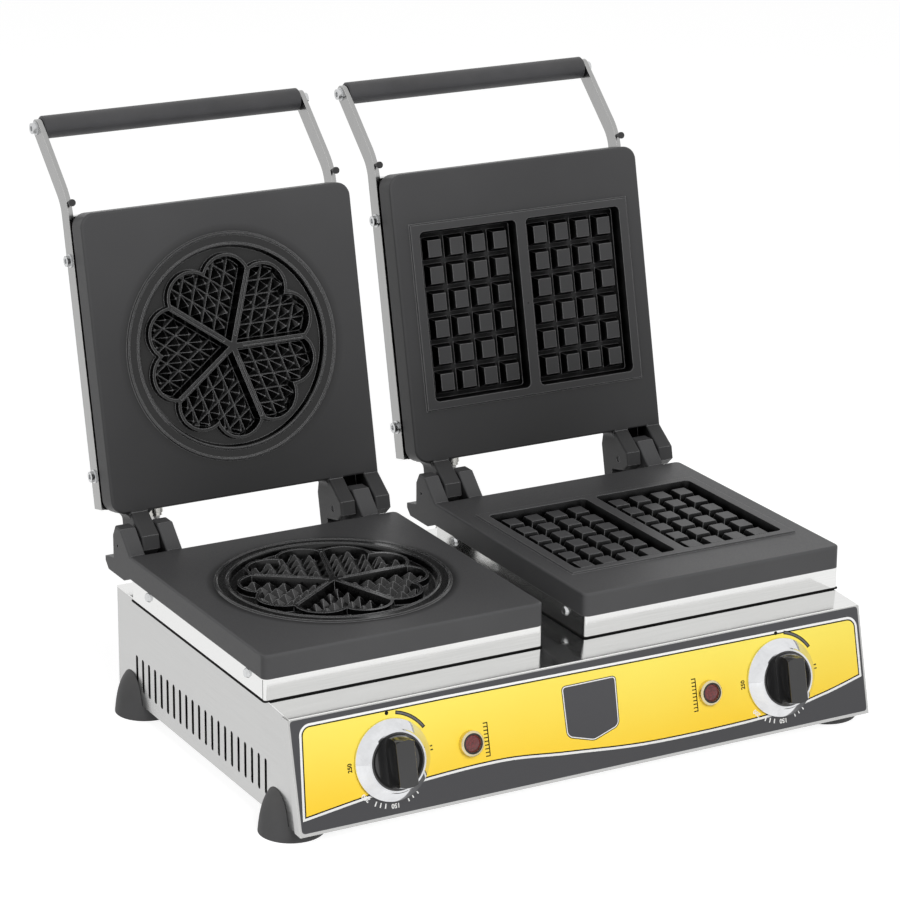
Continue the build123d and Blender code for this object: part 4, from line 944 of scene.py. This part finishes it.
def dial_point(knob_x, radius, clock):
    "Point round a knob, its angle in degrees clockwise from the top."
    turn = radians(clock)
    return knob_x + radius * sin(turn), DIAL_HEIGHT + radius * cos(turn)


def dial_band(knob_x, inner, outer, start, end, steps=14):
    "Outline of a curved band round a knob."
    clocks = [start + (end - start) * k / steps for k in range(steps + 1)]
    outside = [dial_point(knob_x, outer, clock) for clock in clocks]
    inside = [dial_point(knob_x, inner, clock) for clock in reversed(clocks)]
    return outside + inside


def figures_mesh(words, x, rise, turn):
    "Printed figures, turned clockwise by the angle, standing on the film."
    curve = bpy.data.curves.new("figures", "FONT")
    curve.body = words
    curve.size = FIGURE_SIZE * MM
    curve.align_x = "CENTER"
    curve.extrude = INK * MARK_LAYER * MM / 2
    curve.offset = FIGURE_WEIGHT * FIGURE_SIZE * MM
    carrier = bpy.data.objects.new("figures", curve)
    mesh = bpy.data.meshes.new_from_object(carrier)
    bpy.data.objects.remove(carrier)
    bpy.data.curves.remove(curve)
    basis = Matrix((ACROSS, FASCIA_UP, FASCIA_OUT)).transposed().to_4x4()
    basis.translation = on_fascia(x, rise, FILM_FACE + INK * MARK_LAYER / 2)
    mesh.transform(basis @ Matrix.Rotation(-radians(turn), 4, "Z"))
    return mesh


def ink_mesh(outline, layer=MARK_LAYER):
    "Printed shape on the film."
    return plate_mesh("ink", [outline], FILM_FACE, FILM_FACE + INK * layer, on_fascia)


def tick_mesh(knob_x, clock, length):
    "Short line that points away from a knob."
    edges = (clock - TICK_HALF, clock + TICK_HALF)
    return ink_mesh(dial_band(knob_x, MARK_RADIUS, MARK_RADIUS + length, *edges, 2))


def scale_meshes(line):
    "Comb beside a lamp: a spine and its teeth."
    meshes = [ink_mesh(rectangle(line, DIAL_HEIGHT, SCALE_STROKE, SCALE_HEIGHT + SCALE_STROKE))]
    for k in range(SCALE_TEETH):
        rise = DIAL_HEIGHT + SCALE_HEIGHT * (k / (SCALE_TEETH - 1) - 0.5)
        meshes.append(ink_mesh(rectangle(line - SCALE_TOOTH / 2, rise, SCALE_TOOTH, SCALE_STROKE)))
    return meshes


class WAFFLE_OT_dials(bpy.types.Operator):
    """Print the marks round each knob and the scale beside each lamp"""

    bl_idname = "waffle.dials"
    bl_label = "Dial Marks"

    def execute(self, context):
        black = bpy.data.materials["Black Ink"]
        white = bpy.data.materials["White Ink"]
        grey = printed("Grey Ink", linear(84, 84, 86), linear(96, 96, 98))
        for side, sign in zip(SIDES, (-1, 1)):
            knob_x = sign * KNOB_X
            centre = dial_point(knob_x, DOT_CENTRE, 0)
            dark = [ink_mesh(arc_points(centre, DOT_RADIUS, *DOT_ARC))]
            dark.append(ink_mesh(dial_band(knob_x, *CRESCENT)))
            dark += [tick_mesh(knob_x, clock, length) for clock, length in DARK_TICKS]
            pale = [tick_mesh(knob_x, clock, length) for clock, length in DIAL_TICKS]
            for clock, words in DIAL_NUMBERS:
                x, rise = dial_point(knob_x, FIGURE_RADIUS, clock)
                ground = pale if clock < LAST_PALE else dark
                ground.append(figures_mesh(words, x, rise, clock))
            dark += scale_meshes(SCALE_LINES[side])
            add_piece(side + "_dial_marks_dark", joined_mesh("dark", dark), "cabinet", black)
            add_piece(side + "_dial_marks_pale", joined_mesh("pale", pale), "cabinet", white)
            band = [ink_mesh(dial_band(knob_x, *CRESCENT_CORE), MARK_LAYER + 1)]
            add_piece(side + "_dial_band", joined_mesh("band", band), "cabinet", grey)
        return {"FINISHED"}


# Flexible conduits


CONDUIT_ROUTE = (
    (147.25, 162.54),
    (141.06, 134.41),
    (176.82, 85.19),
    (174.31, 61.32),
    (156.48, 45.26),
    (132.48, 45.26),
)
CONDUIT_SIDESTEP = 77.0
ROUTE_STEPS = 24
HOSE_SIDES = 28
RIB_STEPS = 8


def route_points(name, points):
    "Points read from the smooth line that the route controls."
    curve = bpy.data.curves.new(name, "CURVE")
    curve.dimensions = "3D"
    curve.resolution_u = ROUTE_STEPS
    line = curve.splines.new("NURBS")
    line.points.add(len(points) - 1)
    for knot, point in zip(line.points, points):
        knot.co = (*point, 1.0)
    line.order_u = 3
    line.use_endpoint_u = True
    carrier = bpy.data.objects.new(name, curve)
    mesh = bpy.data.meshes.new_from_object(carrier)
    places = [vertex.co.copy() for vertex in mesh.vertices]
    bpy.data.objects.remove(carrier)
    bpy.data.curves.remove(curve)
    bpy.data.meshes.remove(mesh)
    return places


def spaced_points(places, step):
    "Points at even distances along a line, with the last one kept."
    line = [places[0]]
    left = step
    for a, b in zip(places, places[1:]):
        run = (b - a).length
        at = 0.0
        while run - at >= left:
            at += left
            line.append(a.lerp(b, at / run))
            left = step
        left -= run - at
    return line + [places[-1]]


def ribbed_hose(name, places, radius, valley, pitch):
    "Corrugated sleeve along the line, rounded at each rib, in metres."
    line = spaced_points(places, pitch / RIB_STEPS)
    mesh = bmesh.new()
    rings = []
    for k, place in enumerate(line):
        ahead = (line[min(k + 1, len(line) - 1)] - line[max(k - 1, 0)]).normalized()
        up = ahead.cross(ACROSS).normalized()
        wave = abs(sin(pi * k / RIB_STEPS))
        reach = radius - valley * (1 - sqrt(wave))
        ring = []
        for turn in range(HOSE_SIDES):
            angle = 2 * pi * turn / HOSE_SIDES
            ring.append(mesh.verts.new(place + (ACROSS * cos(angle) + up * sin(angle)) * reach))
        rings.append(ring)
    for a, b in zip(rings, rings[1:]):
        for k in range(HOSE_SIDES):
            after = (k + 1) % HOSE_SIDES
            mesh.faces.new((a[k], a[after], b[after], b[k]))
    mesh.faces.new(rings[0])
    mesh.faces.new(rings[-1])
    bmesh.ops.recalc_face_normals(mesh, faces=mesh.faces)
    return finished_mesh(name, mesh, smooth=True)


class WAFFLE_OT_conduits(bpy.types.Operator):
    """Replace the plain conduits by ribbed flexible sleeves"""

    bl_idname = "waffle.conduits"
    bl_label = "Conduits"

    def execute(self, context):
        settings = context.scene.waffle_conduit
        metal = plated("Ribbed Sleeve", linear(205, 205, 203), rough=0.3, scale=900.0, depth=0.00004)
        for side, sign in zip(SIDES, (-1, 1)):
            x = sign * IRON_X - CONDUIT_SIDESTEP
            points = [Vector((x, y, z)) * MM for y, z in CONDUIT_ROUTE]
            places = route_points(side + "_route", points)
            sizes = (settings.radius * MM, settings.valley * MM, settings.pitch * MM)
            mesh = ribbed_hose(side + "_conduit_sleeve", places, *sizes)
            piece = add_piece(side + "_conduit_sleeve", mesh, None, metal)
            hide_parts(side + "_conduit")
            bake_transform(piece)
        return {"FINISHED"}


# Studio


LAMPS = (  # name, place, size and power
    ("key_light", (-0.3, -2.2, 1.5), 1.1, 40.0),
    ("fill_light", (-2.2, -1.6, 1.2), 1.8, 7.0),
    ("rear_light", (0.2, 1.7, 2.2), 1.6, 6.0),
)
LAMP_AIM = (0.0, -0.05, 0.2)
CAMERA_END = 100.0
FLOOR_REACH = 30.0
FLOOR_MATT = (0.42, 0.42, 0.42, 1.0)
FLOOR_GLOW = (0.82, 0.82, 0.82, 1.0)
FLOOR_MIRRORED = 0.9  # its glow in mirrors
WHITE = (1.0, 1.0, 1.0, 1.0)


class WAFFLE_OT_studio(bpy.types.Operator):
    """Build the camera, the pale floor and the soft light"""

    bl_idname = "waffle.studio"
    bl_label = "Studio"

    def execute(self, context):
        settings = context.scene.waffle_studio
        add_camera(settings)
        add_floor()
        add_world(settings)
        for lamp in LAMPS:
            add_lamp(*lamp)
        context.scene.view_settings.view_transform = "Standard"
        return {"FINISHED"}


def add_camera(settings):
    "Camera at the viewing angle of the photograph."
    turn, lift, roll = (radians(v) for v in (settings.azimuth, settings.elevation, settings.roll))
    back = Vector((sin(turn) * cos(lift), -cos(turn) * cos(lift), sin(lift)))
    right = Vector((cos(turn), sin(turn), 0.0))
    up = back.cross(right)
    rolled = (right * cos(roll) + up * sin(roll), up * cos(roll) - right * sin(roll), back)
    data = bpy.data.cameras.new("view")
    data.lens = settings.lens
    data.clip_end = CAMERA_END
    camera = bpy.data.objects.new("view", data)
    camera.matrix_world = Matrix.Translation(settings.place) @ Matrix(rolled).transposed().to_4x4()
    bpy.context.scene.collection.objects.link(camera)
    bpy.context.scene.camera = camera


def add_floor():
    "Wide pale floor that keeps the soft shadow."
    low = CAD_BOX[0][2]
    mesh = bmesh.new()
    corners = rectangle(0, 0, 2 * FLOOR_REACH, 2 * FLOOR_REACH)
    mesh.faces.new([mesh.verts.new((x, y, low)) for x, y in corners])
    floor = bpy.data.objects.new("studio_floor", finished_mesh("studio_floor", mesh))
    bpy.context.scene.collection.objects.link(floor)
    material = bpy.data.materials.new("Studio Floor")
    material.use_nodes = True
    tree = material.node_tree
    tree.nodes.clear()
    rays = wired(tree, "ShaderNodeLightPath").outputs
    seen = calculated(tree, "MAXIMUM", rays["Is Camera Ray"], rays["Is Transmission Ray"])
    mirrored = calculated(tree, "MULTIPLY", rays["Is Glossy Ray"], FLOOR_MIRRORED)
    strength = calculated(tree, "MAXIMUM", seen, mirrored)
    matt = wired(tree, "ShaderNodeBsdfDiffuse", {"Color": FLOOR_MATT})
    glow = wired(tree, "ShaderNodeEmission", {"Color": FLOOR_GLOW, "Strength": strength})
    both = wired(tree, "ShaderNodeAddShader", {0: matt.outputs[0], 1: glow.outputs[0]})
    wired(tree, "ShaderNodeOutputMaterial", {"Surface": both.outputs[0]})
    floor.data.materials.append(material)


def add_world(settings):
    "White room for the camera and for reflections, and a softer one for the light."
    world = bpy.data.worlds.new("studio_room")
    bpy.context.scene.world = world
    world.use_nodes = True
    tree = world.node_tree
    tree.nodes.clear()
    rays = wired(tree, "ShaderNodeLightPath").outputs
    seen = calculated(tree, "MAXIMUM", rays["Is Camera Ray"], rays["Is Glossy Ray"])
    through = calculated(tree, "MAXIMUM", seen, rays["Is Transmission Ray"])
    strength = ranged(tree, through, settings.ambient, 1.0)
    room = wired(tree, "ShaderNodeBackground", {"Color": WHITE, "Strength": strength})
    wired(tree, "ShaderNodeOutputWorld", {"Surface": room.outputs[0]})


def add_lamp(name, place, size, power):
    "Soft square lamp aimed at the object, which mirrors don't show."
    data = bpy.data.lights.new(name, "AREA")
    data.energy = power
    data.size = size
    lamp = bpy.data.objects.new(name, data)
    lamp.visible_glossy = False
    aim = Vector(LAMP_AIM) - Vector(place)
    lamp.matrix_world = Matrix.Translation(place) @ aim.to_track_quat("-Z", "Y").to_matrix().to_4x4()
    bpy.context.scene.collection.objects.link(lamp)


OPERATORS = (
    WAFFLE_OT_castings,
    WAFFLE_OT_sheetwork,
    WAFFLE_OT_fittings,
    WAFFLE_OT_controls,
    WAFFLE_OT_print,
    WAFFLE_OT_dials,
    WAFFLE_OT_conduits,
    WAFFLE_OT_studio,
)


class WAFFLE_PT_sidebar(bpy.types.Panel):
    """Steps and settings of the waffle maker"""

    bl_idname = "WAFFLE_PT_sidebar"
    bl_label = "Waffle Maker"
    bl_space_type = "VIEW_3D"
    bl_region_type = "UI"
    bl_category = "Waffle"

    def draw(self, context):
        for key, settings in SETTINGS:
            box = self.layout.box()
            for field in settings.__annotations__:
                box.prop(getattr(context.scene, key), field)
        for operator in OPERATORS:
            self.layout.operator(operator.bl_idname)


def register():
    for key, settings in SETTINGS:
        bpy.utils.register_class(settings)
        setattr(bpy.types.Scene, key, PointerProperty(type=settings))
    for operator in OPERATORS:
        bpy.utils.register_class(operator)
    bpy.utils.register_class(WAFFLE_PT_sidebar)


def unregister():
    bpy.utils.unregister_class(WAFFLE_PT_sidebar)
    for operator in reversed(OPERATORS):
        bpy.utils.unregister_class(operator)
    for key, settings in reversed(SETTINGS):
        delattr(bpy.types.Scene, key)
        bpy.utils.unregister_class(settings)


def main():
    register()
    for operator in OPERATORS:
        group_name, step = operator.bl_idname.split(".")
        getattr(getattr(bpy.ops, group_name), step)()


if __name__ == "__main__":
    main()
